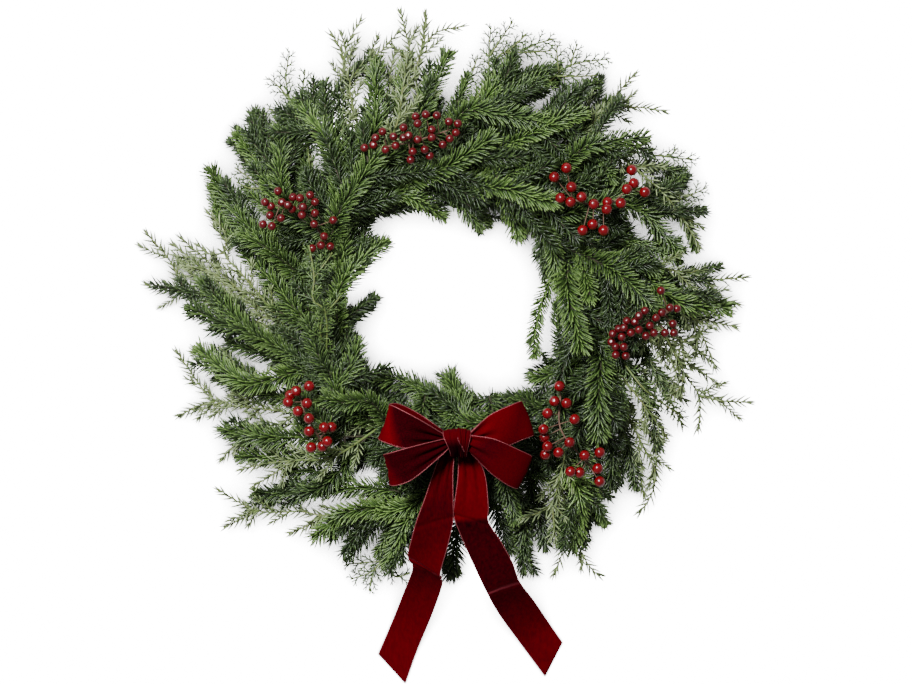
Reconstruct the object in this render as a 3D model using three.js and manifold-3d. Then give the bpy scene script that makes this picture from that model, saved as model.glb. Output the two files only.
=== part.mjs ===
// A fresh evergreen wreath, lying on its back: fir branches with juniper and cypress
// sprigs clamped in bunches on a round wire frame, six clusters of berries on wired
// stalks, and a velvet ribbon bow. Millimetres. +Z is the wreath's front, +Y its top.

import * as THREE from 'three';
import { mergeVertices } from 'three/addons/utils/BufferGeometryUtils.js';
import Module from 'manifold-3d';

const wasm = await Module();
wasm.setup();

// ---- Driving dimensions ----
const PLAN_UNIT = 1.07; // one unit of the plan lists below, x to the right and y downwards
const PLAN_CENTRE = { x: 455, y: 305 }; // the frame's centre in those lists

const RING_RADIUS = 152; // a 12 inch frame, to the middle of its wire
const WIRE_RADIUS = 2.5;
const RING_SEGMENTS = 36;
const CLAMP_COUNT = 10;
const CLAMP_WIRE_RADIUS = 1.4;
const CLAMP_HALF_WIDTH = 11;
const CLAMP_HEIGHT = 15.3;
const CLAMP_LIP = 2.6; // where the bent-over ends stop, from the clamp's middle

const STEM_RADIUS = 2.3; // a fir stem, and the slim core of its shoots
const SPRIG_RADIUS = 1.4;
const TWIG_RADIUS = 1.1;
const STEM_SPACING = 6; // fir stems lie side by side in a clamp
const SPRIG_ROW_HEIGHT = 12.2; // and sprig stems in a second row, under its bent-over ends
const SEAT_GAP = 0.3; // between a held piece and what holds it

const FOLIAGE_EDGE_HEIGHT = 20; // how high a front shoot runs at the wreath's edges
const FOLIAGE_CROWN_HEIGHT = 50; // and how much higher over the middle of its band
const CROWN_RADIUS = 160;
const CROWN_INNER_WIDTH = 65;
const CROWN_OUTER_WIDTH = 115;

const NEEDLE_RADIUS = 1.05;
const NEEDLE_PITCH = 21; // along a fir shoot
const NEEDLE_LEAN = THREE.MathUtils.degToRad(55);
const NEEDLE_BASE_HALF = 0.87; // half the width of a needle's base, in its radii
const AWL_LENGTH = 9.5; // a juniper needle
const AWL_PITCH = 26;
const AWL_LEAN = 0.8;
const SCALE_TWIG_LENGTH = 13; // a cypress side twig
const SCALE_TWIG_PITCH = 26;
const SCALE_TWIG_LEAN = 0.65;
const SLIM_RADIUS = 0.6; // of either's base
const SOLID_GAP = 0.4; // between neighbouring pieces
const FLOOR_GAP = 0.6; // under the lowest needles

const BRIGHT_BERRY_RADIUS = 5.5;
const DARK_BERRY_RADIUS = 4.3;
const BERRY_CORNER_SCALE = 1.08; // a faceted berry's corners stand proud of the round one
const BERRY_MARGIN = 0.5; // that stems keep round a berry
const BERRY_SCATTER = 5; // how much deeper some berries lie than others
const CLUSTER_DROP = 0.22; // how fast a cluster falls away from its middle
const SPINE_DEPTH = 17; // of the stem that a cluster's berries spring from, under them
const BERRY_STEM_RADIUS = 0.7;
const BERRY_STEM_SWELL = 1.3; // at its root
const BERRY_STEM_OVERRUN = 0.2; // of its length, inside the berry
const STALK_RADIUS = 1.2;

const RIBBON_THICKNESS = 1.2;
const RIBBON_EXTRA_ROWS = 4; // of a strip's mesh, over the points of its edges
const RIBBON_CORE = 2; // what a strip fills to either side of its middle
const RIBBON_ROOM = 2.5; // and what stems keep off
const KNOT_HALF_LENGTH = 14.6;
const KNOT_HEIGHT = 90;
const KNOT_PROFILE = [[10, -1], [14, -0.7], [16.5, 0], [14, 0.7], [10, 1]]; // radius, share of its half length
const KNOT_SIDES = 10;
const KNOT_INSET = 12; // from its end to the end of its core
const KNOT_CORE = 14; // the core's radius
const KNOT_ROOM = 17;
const TIE_WIRE_RADIUS = 0.8;
const TIE_TOP_DEPTH = 16.9; // from the knot's middle to the top of its wire

// ---- Plan lists ----
const BACK = 0.4;
const MIDDLE = 0.7;
const FRONT = 1;

// Each fir shoot: its layer, its needles' reach to a side, then its base, middle and tip.
const FIR_SHOOTS = [
  [MIDDLE, 14, [250, 230], [222, 190], [210, 170]],
  [BACK, 12, [267, 160], [258, 135], [253, 110]],
  [MIDDLE, 11, [268, 185], [252, 155], [236, 133]],
  [MIDDLE, 13, [281, 182], [281, 150], [281, 120]],
  [BACK, 9, [304, 178], [299, 155], [296, 138]],
  [MIDDLE, 13, [328, 142], [312, 120], [298, 101]],
  [FRONT, 15, [338, 155], [328, 115], [322, 86]],
  [FRONT, 14, [375, 130], [376, 95], [375, 60]],
  [MIDDLE, 13, [340, 185], [352, 155], [366, 128]],
  [MIDDLE, 14, [425, 105], [436, 80], [448, 54]],
  [FRONT, 15, [340, 213], [358, 185], [378, 155]],
  [MIDDLE, 13, [350, 216], [378, 203], [407, 187]],
  [FRONT, 13, [340, 288], [360, 262], [386, 243]],
  [MIDDLE, 12, [338, 285], [343, 255], [343, 228]],
  [MIDDLE, 14, [285, 262], [262, 245], [241, 235]],
  [MIDDLE, 14, [245, 327], [222, 303], [200, 282]],
  [BACK, 12, [245, 332], [215, 320], [188, 307]],
  [FRONT, 15, [250, 383], [222, 368], [199, 350]],
  [MIDDLE, 15, [272, 438], [245, 435], [223, 430]],
  [MIDDLE, 13, [318, 490], [285, 493], [255, 495]],
  [FRONT, 14, [348, 512], [330, 525], [315, 538]],
  [BACK, 12, [372, 515], [358, 535], [350, 550]],
  [MIDDLE, 13, [416, 503], [398, 510], [378, 514]],
  [MIDDLE, 12, [408, 520], [396, 545], [388, 566]],
  [BACK, 14, [460, 515], [455, 545], [452, 575]],
  [BACK, 12, [527, 512], [522, 545], [525, 572]],
  [MIDDLE, 12, [505, 478], [511, 502], [516, 521]],
  [BACK, 8, [497, 470], [493, 490], [494, 508]],
  [MIDDLE, 10, [590, 490], [598, 508], [606, 524]],
  [FRONT, 14, [578, 490], [577, 520], [571, 548]],
  [FRONT, 16, [600, 350], [598, 395], [598, 436]],
  [MIDDLE, 12, [608, 370], [617, 395], [621, 416]],
  [BACK, 12, [612, 450], [612, 470], [613, 488]],
  [FRONT, 16, [567, 290], [573, 318], [581, 347]],
  [MIDDLE, 10, [545, 320], [538, 340], [534, 357]],
  [BACK, 12, [575, 366], [553, 374], [532, 379]],
  [BACK, 11, [541, 410], [520, 397], [496, 402]],
  [MIDDLE, 16, [470, 425], [460, 402], [449, 378]],
  [MIDDLE, 15, [442, 402], [412, 385], [380, 374]],
  [MIDDLE, 13, [370, 402], [345, 403], [322, 398]],
  [MIDDLE, 14, [335, 392], [350, 368], [358, 343]],
  [MIDDLE, 12, [322, 362], [314, 340], [308, 320]],
  [BACK, 10, [352, 316], [365, 307], [377, 297]],
  [FRONT, 14, [495, 180], [508, 205], [519, 237]],
  [MIDDLE, 13, [453, 194], [467, 210], [480, 227]],
  [FRONT, 12, [410, 196], [428, 207], [444, 216]],
  [MIDDLE, 12, [430, 175], [460, 178], [491, 185]],
  [FRONT, 14, [465, 112], [505, 116], [546, 122]],
  [FRONT, 14, [442, 170], [467, 155], [492, 138]],
  [MIDDLE, 13, [485, 100], [500, 80], [511, 63]],
  [MIDDLE, 13, [495, 105], [520, 88], [546, 78]],
  [FRONT, 13, [550, 125], [567, 118], [583, 113]],
  [BACK, 11, [555, 112], [575, 93], [597, 81]],
  [BACK, 11, [580, 142], [594, 120], [612, 99]],
  [FRONT, 13, [585, 148], [615, 141], [646, 138]],
  [MIDDLE, 12, [495, 178], [525, 168], [550, 163]],
  [FRONT, 14, [505, 185], [530, 195], [556, 203]],
  [MIDDLE, 12, [590, 152], [603, 165], [612, 180]],
  [BACK, 10, [650, 198], [668, 187], [687, 177]],
  [BACK, 10, [655, 206], [680, 210], [704, 211]],
  [MIDDLE, 13, [640, 205], [660, 225], [678, 252]],
  [BACK, 9, [665, 276], [692, 272], [722, 266]],
  [MIDDLE, 13, [603, 258], [630, 262], [658, 270]],
  [FRONT, 14, [615, 272], [635, 290], [652, 308]],
  [FRONT, 14, [680, 303], [705, 305], [728, 308]],
  [BACK, 13, [545, 215], [543, 240], [546, 272]],
  [BACK, 11, [540, 232], [560, 228], [579, 223]],
  [MIDDLE, 12, [553, 248], [556, 268], [560, 288]],
  [MIDDLE, 12, [583, 268], [588, 285], [590, 300]],
  [MIDDLE, 12, [500, 160], [520, 150], [542, 140]],
];

// Each sprig: its kind, its layer, its stem, then the twigs that fork from it.
const SPRIGS = [
  ['juniper', FRONT, [[343, 140], [343, 110], [346, 48], [362, 17]], [[344, 58], [337, 42], [330, 33]]],
  ['juniper', FRONT, [[350, 85], [362, 66], [382, 50], [400, 30]]],
  ['juniper', FRONT, [[398, 122], [402, 95], [408, 55]]],
  ['juniper', MIDDLE, [[416, 105], [414, 70], [408, 42], [400, 8]],
    [[415, 75], [421, 50], [426, 12]], [[421, 50], [437, 32], [464, 26]]],
  ['cypress', BACK, [[312, 165], [305, 133], [286, 85], [289, 50]],
    [[298, 115], [302, 90], [305, 69]], [[292, 102], [280, 88], [268, 77]]],
  ['cypress', MIDDLE, [[303, 130], [285, 117], [267, 108]]],
  ['cypress', BACK, [[285, 205], [252, 180], [234, 167]], [[262, 188], [250, 188], [236, 182]]],
  ['cypress', MIDDLE, [[485, 90], [489, 50], [491, 25]], [[489, 55], [500, 40], [513, 21]]],
  ['cypress', MIDDLE, [[490, 80], [500, 54], [527, 52], [552, 50]],
    [[505, 54], [518, 42], [528, 32]], [[520, 52], [540, 42], [557, 38]]],
  ['cypress', MIDDLE, [[535, 85], [545, 76], [570, 60], [611, 58]], [[556, 66], [557, 52], [557, 44]],
    [[568, 61], [575, 50], [578, 43]], [[552, 74], [575, 76], [597, 75]]],
  ['cypress', BACK, [[462, 90], [471, 76], [478, 54]]],
  ['juniper', BACK, [[605, 112], [620, 90], [637, 72]]],
  ['juniper', BACK, [[600, 110], [640, 107], [667, 111]]],
  ['cypress', MIDDLE, [[620, 170], [635, 167], [665, 165], [697, 160]],
    [[640, 166], [648, 155], [652, 147]], [[662, 165], [670, 155], [678, 148]]],
  ['cypress', BACK, [[665, 205], [682, 199], [708, 187]]],
  ['juniper', BACK, [[660, 190], [672, 203], [687, 225], [701, 249]]],
  ['juniper', MIDDLE, [[670, 270], [688, 272], [715, 279], [748, 277]], [[700, 276], [708, 283], [717, 293]]],
  ['juniper', BACK, [[700, 292], [727, 300], [742, 305]]],
  ['juniper', BACK, [[695, 315], [715, 322], [738, 327]]],
  ['juniper', BACK, [[655, 338], [675, 341], [697, 343]], [[685, 342], [700, 333], [713, 327]]],
  ['juniper', MIDDLE, [[690, 315], [700, 330], [709, 350], [716, 370]]],
  ['juniper', MIDDLE, [[640, 325], [655, 342], [685, 375], [700, 398], [698, 432]],
    [[700, 395], [722, 401], [752, 402]]],
  ['juniper', MIDDLE, [[650, 340], [668, 352], [700, 370], [719, 386]]],
  ['juniper', FRONT, [[675, 355], [683, 370], [680, 395]], [[682, 385], [675, 393], [667, 400]]],
  ['cypress', FRONT, [[640, 385], [655, 398], [684, 418]]],
  ['juniper', MIDDLE, [[640, 400], [655, 420], [668, 438]]],
  ['juniper', BACK, [[625, 435], [630, 455], [640, 475], [645, 498]]],
  ['juniper', MIDDLE, [[645, 450], [655, 470], [653, 492], [639, 515]]],
  ['juniper', MIDDLE, [[565, 450], [560, 475], [550, 505], [520, 520]], [[550, 503], [554, 525], [556, 545]]],
  ['juniper', BACK, [[560, 520], [563, 550], [553, 577]]],
  ['juniper', MIDDLE, [[568, 520], [578, 545], [590, 567], [601, 578]]],
  ['cypress', BACK, [[405, 535], [385, 560], [365, 563], [345, 565]], [[380, 561], [370, 573], [350, 580]],
    [[376, 566], [371, 580], [369, 592]], [[386, 560], [394, 577], [410, 574]]],
  ['juniper', BACK, [[270, 410], [252, 408], [213, 400], [190, 372], [175, 350]],
    [[213, 400], [195, 408], [177, 416]]],
  ['juniper', BACK, [[250, 430], [235, 445], [219, 461]]],
  ['juniper', MIDDLE, [[330, 458], [300, 460], [270, 463], [238, 470]], [[290, 462], [272, 475], [252, 487]]],
  ['juniper', BACK, [[330, 515], [300, 512], [257, 511], [216, 489]], [[257, 511], [240, 520], [223, 528]],
    [[320, 513], [303, 528], [288, 534]]],
  ['juniper', MIDDLE, [[240, 272], [225, 255], [226, 235], [206, 210]], [[225, 255], [210, 254], [197, 244]]],
  ['juniper', BACK, [[228, 280], [208, 262], [178, 236]]],
  ['juniper', BACK, [[215, 275], [188, 265], [172, 252]]],
  ['juniper', BACK, [[230, 310], [200, 300], [185, 293], [170, 262], [144, 231]],
    [[185, 293], [165, 290], [144, 284]]],
  ['cypress', FRONT, [[325, 310], [314, 300], [315, 278], [310, 246]], [[315, 280], [325, 265], [333, 253]]],
  ['cypress', FRONT, [[322, 322], [338, 300], [343, 293]]],
];

// Each cluster: its name, berry radius, the height of its top, the spine that its berry
// stems leave, from its root to its end, and its berries.
const BERRY_CLUSTERS = [
  ['berries_dark_top', DARK_BERRY_RADIUS, 92, [[374, 150], [415, 142], [452, 130]],
    [[416, 118], [404, 129], [432, 131], [383, 133], [396, 147], [365, 149], [418, 141], [449, 123],
      [456, 134], [430, 157], [443, 146]]],
  ['berries_dark_left', DARK_BERRY_RADIUS, 88, [[326, 242], [305, 212], [276, 206]],
    [[279, 192], [266, 203], [289, 206], [301, 199], [316, 203], [271, 216], [303, 216], [315, 225],
      [325, 237], [331, 247]]],
  ['berries_dark_right', DARK_BERRY_RADIUS, 84, [[668, 312], [640, 324], [614, 345]],
    [[660, 291], [676, 309], [644, 311], [661, 313], [626, 321], [649, 326], [612, 334], [630, 333],
      [672, 324], [615, 347], [625, 356]]],
  ['berries_bright_upper_right', BRIGHT_BERRY_RADIUS, 90, [[572, 200], [603, 207], [628, 190]],
    [[566, 169], [554, 178], [571, 188], [560, 199], [581, 198], [593, 205], [606, 210], [620, 204],
      [631, 171], [633, 184], [644, 193], [582, 231], [592, 225], [603, 231]]],
  ['berries_bright_lower_left', BRIGHT_BERRY_RADIUS, 88, [[320, 438], [305, 412], [300, 393]],
    [[310, 386], [297, 391], [289, 402], [299, 411], [308, 403], [310, 418], [310, 431], [325, 427],
      [328, 441], [312, 447]]],
  ['berries_bright_lower_right', BRIGHT_BERRY_RADIUS, 90, [[560, 396], [560, 428], [586, 462]],
    [[559, 386], [554, 401], [566, 403], [547, 413], [574, 419], [543, 429], [569, 442], [547, 446],
      [558, 452], [584, 455], [599, 452], [570, 471], [597, 468], [599, 481]]],
];

// Each ribbon strip: its two edges in plan units with a height in millimetres.
const RIBBONS = {
  bow_loop_upper_left: [
    [[443, 433, 97], [418, 418, 110], [397, 407, 106], [390, 404, 96], [400, 404, 87], [420, 414, 83],
      [443, 430, 84]],
    [[443, 441, 97], [408, 446, 108], [386, 441, 103], [379, 437, 94], [388, 436, 85], [412, 440, 81],
      [443, 441, 84]],
  ],
  bow_loop_lower_left: [
    [[443, 443, 96], [412, 447, 104], [391, 451, 100], [384, 453, 91], [392, 453, 83], [414, 450, 80],
      [443, 443.5, 82]],
    [[443, 453, 96], [414, 477, 102], [397, 484, 98], [390, 483, 90], [396, 478, 82], [414, 470, 79],
      [443, 452, 82]],
  ],
  bow_loop_upper_right: [
    [[471, 432, 97], [489, 415, 110], [512, 404, 107], [521, 401, 97], [512, 405, 87], [491, 414, 83],
      [471, 431, 84]],
    [[471, 441, 97], [500, 440, 108], [524, 437, 104], [533, 434, 95], [524, 433, 86], [500, 437, 82],
      [471, 441, 84]],
  ],
  bow_loop_lower_right: [
    [[471, 443, 96], [498, 443.5, 104], [521, 452, 101], [531, 456, 92], [523, 457, 83], [500, 449, 80],
      [471, 443.5, 82]],
    [[471, 453, 96], [491, 472, 102], [508, 484, 99], [517, 487, 91], [510, 481, 82], [492, 468, 79],
      [471, 452, 82]],
  ],
  bow_tail_left: [
    [[444, 446, 73.6], [436, 466, 75], [425, 498, 74], [417, 520, 70], [411, 542, 63], [408, 557, 52],
      [413, 568, 40], [404, 593, 17], [393, 621, 3], [379, 653, 1.2]],
    [[455, 446, 73.6], [453, 472, 75], [453, 502, 74], [453, 519, 70], [448, 543, 63], [440, 573, 50],
      [442, 584, 38], [432, 613, 15], [417, 649, 3], [405, 682, 1.2]],
  ],
  bow_tail_right: [
    [[459, 446, 73.6], [458, 476, 75], [455, 500, 74], [454, 515, 70], [460, 532, 64], [472, 560, 53],
      [487, 590, 38], [500, 613, 17], [520, 641, 3], [545, 675, 1.2]],
    [[470, 446, 73.6], [484, 472, 75], [488, 505, 74], [488, 521, 70], [500, 540, 64], [512, 562, 53],
      [519, 581, 40], [534, 601, 19], [549, 624, 3], [562, 642, 1.2]],
  ],
};
const KNOT_PLAN = [457, 443];

// ---- Finishes ----
const finish = (color, roughness, metalness = 0) =>
  new THREE.MeshStandardMaterial({ color, roughness, metalness });
const FIR_GREEN = finish('#3f5f3a', 0.75);
const JUNIPER_GREEN = finish('#7f9150', 0.75);
const CYPRESS_GREEN = finish('#5c7a42', 0.75);
const BRIGHT_RED = finish('#b30d1d', 0.3);
const DARK_RED = finish('#6f191f', 0.4);
const VELVET = finish('#7c0212', 0.9);
const WIRE_GREEN = finish('#2f4a35', 0.5, 0.6);

// ---- Small helpers ----
const WIRE_SIDES = 6;
const WIRE_HALF_HEIGHT = WIRE_RADIUS * Math.cos(Math.PI / 6); // the wire is flat below
const FOOT_HEIGHT = 2 * WIRE_HALF_HEIGHT + SEAT_GAP; // of what stands on the frame
const UP = new THREE.Vector3(0, 0, 1);
const planPoint = ([x, y], z = 0) =>
  new THREE.Vector3((x - PLAN_CENTRE.x) * PLAN_UNIT, (PLAN_CENTRE.y - y) * PLAN_UNIT, z);
const planRadius = (point) => Math.hypot(point.x, point.y);
const planDistance = (a, b) => Math.hypot(a.x - b.x, a.y - b.y);

/** A repeatable draw between 0 and 1. */
function seededRandom(seed) {
  let state = seed;
  return () => {
    state = (state + 0x6d2b79f5) | 0;
    let mixed = Math.imul(state ^ (state >>> 15), 1 | state);
    mixed = (mixed + Math.imul(mixed ^ (mixed >>> 7), 61 | mixed)) ^ mixed;
    return ((mixed ^ (mixed >>> 14)) >>> 0) / 4294967296;
  };
}

/** A closed solid from a geometry, with its shared corners merged. */
function solidOf(geometry) {
  geometry.deleteAttribute('normal');
  geometry.deleteAttribute('uv');
  const merged = mergeVertices(geometry, 1e-4);
  const corners = merged.index.array;
  const triangles = [];
  for (let i = 0; i < corners.length; i += 3) {
    const [a, b, c] = [corners[i], corners[i + 1], corners[i + 2]];
    if (a !== b && b !== c && c !== a) triangles.push(a, b, c);
  }
  return new wasm.Manifold(new wasm.Mesh({
    numProp: 3,
    vertProperties: new Float32Array(merged.attributes.position.array),
    triVerts: new Uint32Array(triangles),
  }));
}

/** The one body that a list of solids makes, without loose scraps or sealed hollows. */
function fused(solids) {
  const bodies = wasm.Manifold.union(solids).decompose();
  return bodies.reduce((best, body) => (body.volume() > best.volume() ? body : best));
}

/** A named mesh from a solid. */
function meshOf(name, solid, material) {
  const { vertProperties, triVerts } = solid.getMesh();
  const geometry = new THREE.BufferGeometry();
  geometry.setAttribute('position', new THREE.BufferAttribute(new Float32Array(vertProperties), 3));
  geometry.setIndex(new THREE.BufferAttribute(new Uint32Array(triVerts), 1));
  geometry.computeVertexNormals();
  const mesh = new THREE.Mesh(geometry, material);
  mesh.name = name;
  return mesh;
}

/** The two directions across a path at one of its points. */
function acrossPath(path, index) {
  const along = path[Math.min(index + 1, path.length - 1)].clone().sub(path[Math.max(index - 1, 0)]);
  const side = along.clone().cross(UP).normalize();
  return { along: along.normalize(), side, rise: side.clone().cross(along) };
}

/** A closed stem along a path from stations with an index, a radius and a twist. */
function stemGeometry(path, stations, sides) {
  const profile = stations.map(({ radius }, row) => new THREE.Vector2(radius, row));
  const geometry = new THREE.LatheGeometry(profile, sides);
  const position = geometry.attributes.position;
  for (let v = 0; v < position.count; v += 1) {
    const { index, twist = 0 } = stations[Math.round(position.getY(v))];
    const { side, rise } = acrossPath(path, index);
    const [x, z] = [position.getX(v), position.getZ(v)];
    const corner = path[index].clone();
    corner.addScaledVector(side, x * Math.cos(twist) + z * Math.sin(twist));
    corner.addScaledVector(rise, z * Math.cos(twist) - x * Math.sin(twist));
    position.setXYZ(v, corner.x, corner.y, corner.z);
  }
  return geometry;
}

/** A stem along a path, with the radii at its start, just after it and at its pointed end. */
function taperedStem(path, rootRadius, startRadius, endRadius, sides) {
  const last = path.length - 1;
  const stations = path.map((_, index) => (
    { index, radius: THREE.MathUtils.lerp(startRadius, endRadius, index / last) }));
  stations[0].radius = rootRadius;
  stations[last].radius = 0;
  return solidOf(stemGeometry(path, [{ index: 0, radius: 0 }, ...stations], sides));
}

/** The corners of one face of a stem's geometry, in order round it. */
function faceCorners(geometry, rows, row, face) {
  const first = row + face * rows;
  return [first, first + rows, first + rows + 1, first + 1].map((index) => (
    { index, point: new THREE.Vector3().fromBufferAttribute(geometry.attributes.position, index) }));
}

/** A stem's solid with each spike's face drawn out to its tip. */
function spikedSolid(geometry, rows, sides, spikes) {
  const position = geometry.attributes.position;
  const points = Array.from(position.array);
  const index = [];
  for (let face = 0; face < sides; face += 1) {
    for (let row = 0; row < rows - 1; row += 1) {
      const corners = faceCorners(geometry, rows, row, face);
      const [a, b, c, d] = corners.map((corner) => corner.index);
      const spike = spikes.find((one) => one.row === row && one.face === face);
      if (spike) {
        const p = points.length / 3;
        const [q, r, tip] = [p + 1, p + 2, p + 3];
        const across = corners[1].point.clone().sub(corners[0].point).normalize();
        const along = corners[3].point.clone().sub(corners[0].point).normalize();
        const at = (x, y) => spike.middle.clone().addScaledVector(across, x).addScaledVector(along, y);
        const half = spike.radius * NEEDLE_BASE_HALF;
        [at(0, -spike.radius), at(half, half), at(-half, half), spike.tip].forEach((corner) => {
          points.push(corner.x, corner.y, corner.z);
        });
        index.push(a, b, p, b, q, p, b, c, q, c, r, q, c, d, r, d, a, r, a, p, r);
        index.push(p, q, tip, q, r, tip, r, p, tip);
      } else {
        index.push(a, b, d, c, d, b);
      }
    }
  }
  const drawn = new THREE.BufferGeometry();
  drawn.setAttribute('position', new THREE.BufferAttribute(new Float32Array(points), 3));
  drawn.setIndex(index);
  return solidOf(drawn);
}

// ---- The layout: every stem finds a way clear of what is there before it ----
const SAMPLE_SPACING = 5;
const STEM_CLEARANCE = 1.3;
const GROUND_CLEARANCE = 1;
const HELD_LENGTH = 15; // of a stem's start, which lies where its clamp puts it
const FORK_LENGTH = 4; // and of a side stem's start, inside its parent
const SHIFT_RAMP = 60; // over which a shifted stem leaves its start
const placed = []; // points that are taken, each with a radius and its node

/** Marks points as taken by a node. */
function take(node, points, radius) {
  points.forEach((point) => placed.push({ node, point, radius }));
}

/** Whether a stem's points, each with its clearance, keep off all that other nodes have taken. */
function isClear(node, points, clearances, radius) {
  return points.every((point, i) => point.z > radius + GROUND_CLEARANCE && placed.every((other) => (
    other.node === node
    || point.distanceTo(other.point) > radius + other.radius + clearances[i])));
}

/** Points about five millimetres apart on the smooth curve through some points. */
function sampledCurve(points) {
  const curve = new THREE.CatmullRomCurve3(points);
  return curve.getSpacedPoints(Math.max(3, Math.round(curve.getLength() / SAMPLE_SPACING)));
}

/** The height of a layer of foliage over a place, before neighbours push it up or down. */
function foliageHeight(point, layer) {
  const offset = planRadius(point) - CROWN_RADIUS;
  const width = offset < 0 ? CROWN_INNER_WIDTH : CROWN_OUTER_WIDTH;
  const crown = Math.max(0, 1 - (offset / width) ** 2);
  return (FOLIAGE_EDGE_HEIGHT + FOLIAGE_CROWN_HEIGHT * crown) * layer;
}

const MOST_ASIDE = 16;
const ASIDE_STEP = 4;
const ASIDE_COST = 1.5; // a millimetre aside counts as this many up or down
const MOST_LIFT = 44;
const LIFT_STEP = 2;

/** The moves that a stem tries: up or down from its start on, and aside in its middle. */
function possibleMoves() {
  const moves = [];
  for (let aside = 0; aside <= MOST_ASIDE; aside += ASIDE_STEP) {
    for (let lift = 0; lift <= MOST_LIFT; lift += LIFT_STEP) {
      [[lift, aside], [-lift, aside], [lift, -aside], [-lift, -aside]].forEach(([up, across]) => {
        moves.push({ up, across, cost: lift + ASIDE_COST * aside });
      });
    }
  }
  return moves.sort((a, b) => a.cost - b.cost);
}
const MOVES = possibleMoves();

/** Moves a path from its fixed start until it is clear and takes its place, or gives nothing. */
function settle(node, path, radius, held) {
  const last = path.length - 1;
  const aside = path[last].clone().sub(path[0]).cross(UP).normalize();
  const moved = ({ up, across }) => path.map((point, i) => {
    const ramp = THREE.MathUtils.smoothstep(planDistance(point, path[0]), held, SHIFT_RAMP);
    const bow = ramp * Math.sin((Math.PI * i) / last);
    const least = Math.min(point.z, path[0].z); // a stem that moves down stops at its start's height
    return point.clone().addScaledVector(aside, across * bow).setZ(Math.max(point.z + up * ramp, least));
  });
  const first = path.findIndex((point) => planDistance(point, path[0]) > held);
  const clearances = path.slice(first).map((point) => (
    STEM_CLEARANCE * THREE.MathUtils.smoothstep(planDistance(point, path[0]), held, SHIFT_RAMP)));
  const move = MOVES.find((one) => isClear(node, moved(one).slice(first), clearances, radius));
  if (!move) return null;
  const settled = moved(move);
  take(node, settled, radius);
  return settled;
}

const CLAMP_STEP = (2 * Math.PI) / CLAMP_COUNT;
const CLAMP_LEAD = THREE.MathUtils.degToRad(14); // least way from a clamp to a shoot's base

/** The clamp that holds a shoot: foliage runs clockwise from its clamp. */
function clampBefore(base) {
  const angle = Math.atan2(base.y, base.x);
  const index = Math.ceil((angle + CLAMP_LEAD) / CLAMP_STEP);
  return (index + CLAMP_COUNT) % CLAMP_COUNT;
}

/** A clamp's place and directions: outwards and clockwise. */
function clampFrame(index) {
  const angle = index * CLAMP_STEP;
  const outward = new THREE.Vector3(Math.cos(angle), Math.sin(angle), 0);
  const clockwise = new THREE.Vector3(Math.sin(angle), -Math.cos(angle), 0);
  return { centre: outward.clone().multiplyScalar(RING_RADIUS), outward, clockwise };
}

/** How high a fir stem lies in its clamp: on the frame's wire, or beside it on the clamp's. */
function stemSeat(offset) {
  const onWire = Math.abs(offset) < STEM_SPACING;
  const support = onWire ? 2 * WIRE_HALF_HEIGHT : WIRE_HALF_HEIGHT + CLAMP_WIRE_RADIUS;
  return support + SEAT_GAP + STEM_RADIUS / 2;
}

const BUTT_LENGTH = 12; // of a stem's cut end, behind its clamp
const PAST_CLAMP = 5; // then the stem runs level past the clamp
const LEAVING_LENGTH = 18; // and starts to rise
const LEAVING_RISE = 2;
const RISE_LENGTH = 95; // until it is at its layer's height

/** A stem's free points, which rise from where it is held to its layer's height. */
function risingPoints(plan, layer, held) {
  return plan.map((place) => {
    const point = planPoint(place);
    const rise = THREE.MathUtils.smoothstep(planDistance(point, held), 0, RISE_LENGTH);
    return point.setZ(THREE.MathUtils.lerp(held.z, foliageHeight(point, layer), rise));
  });
}

/** The control points of a stem from its clamp through its own plan points. */
function stemFromClamp(clamp, offset, height, plan, layer) {
  const { centre, outward, clockwise } = clampFrame(clamp);
  const held = centre.clone().addScaledVector(outward, offset).setZ(height);
  const butt = held.clone().addScaledVector(clockwise, -BUTT_LENGTH);
  const past = held.clone().addScaledVector(clockwise, PAST_CLAMP);
  const leaving = held.clone().addScaledVector(clockwise, LEAVING_LENGTH).setZ(height + LEAVING_RISE);
  return [butt, past, leaving, ...risingPoints(plan, layer, held)];
}

const HELD_SAMPLE = 2; // of a path, in its clamp
const FIRST_FORK_SAMPLE = 6; // past the clamp

/** A side branch's control points, from a fork on its parent's path. */
function stemFromFork(parent, plan, layer, fork) {
  return [parent[fork].clone(), ...risingPoints(plan, layer, parent[HELD_SAMPLE])];
}

/** The index on a path that is some share of the way out to a point. */
function forkTowards(path, point, share) {
  const wanted = planDistance(point, path[0]) * share;
  const index = path.findIndex((sample) => planDistance(sample, path[0]) >= wanted);
  return Math.max(FIRST_FORK_SAMPLE, index < 0 ? Math.floor(path.length / 2) : index);
}

// ---- Foliage: which clamp holds what, then every stem's way ----
const FIR_PER_BRANCH = 3;

/** The fir shoots that each clamp holds. */
function shootsByClamp() {
  const clamps = Array.from({ length: CLAMP_COUNT }, () => []);
  FIR_SHOOTS.forEach(([layer, reach, ...plan]) => {
    clamps[clampBefore(planPoint(plan[0]))].push({ layer, reach, plan });
  });
  return clamps;
}

/** The sprigs of one kind that each clamp holds. */
function sprigsByClamp(kind) {
  const clamps = Array.from({ length: CLAMP_COUNT }, () => []);
  SPRIGS.filter(([own]) => own === kind).forEach(([, layer, plan, ...twigs]) => {
    clamps[clampBefore(planPoint(plan[0]))].push({ layer, plan, twigs });
  });
  return clamps;
}

const byLayer = (a, b) => a.layer - b.layer;
const twoDigits = (number) => String(number + 1).padStart(2, '0');

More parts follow.
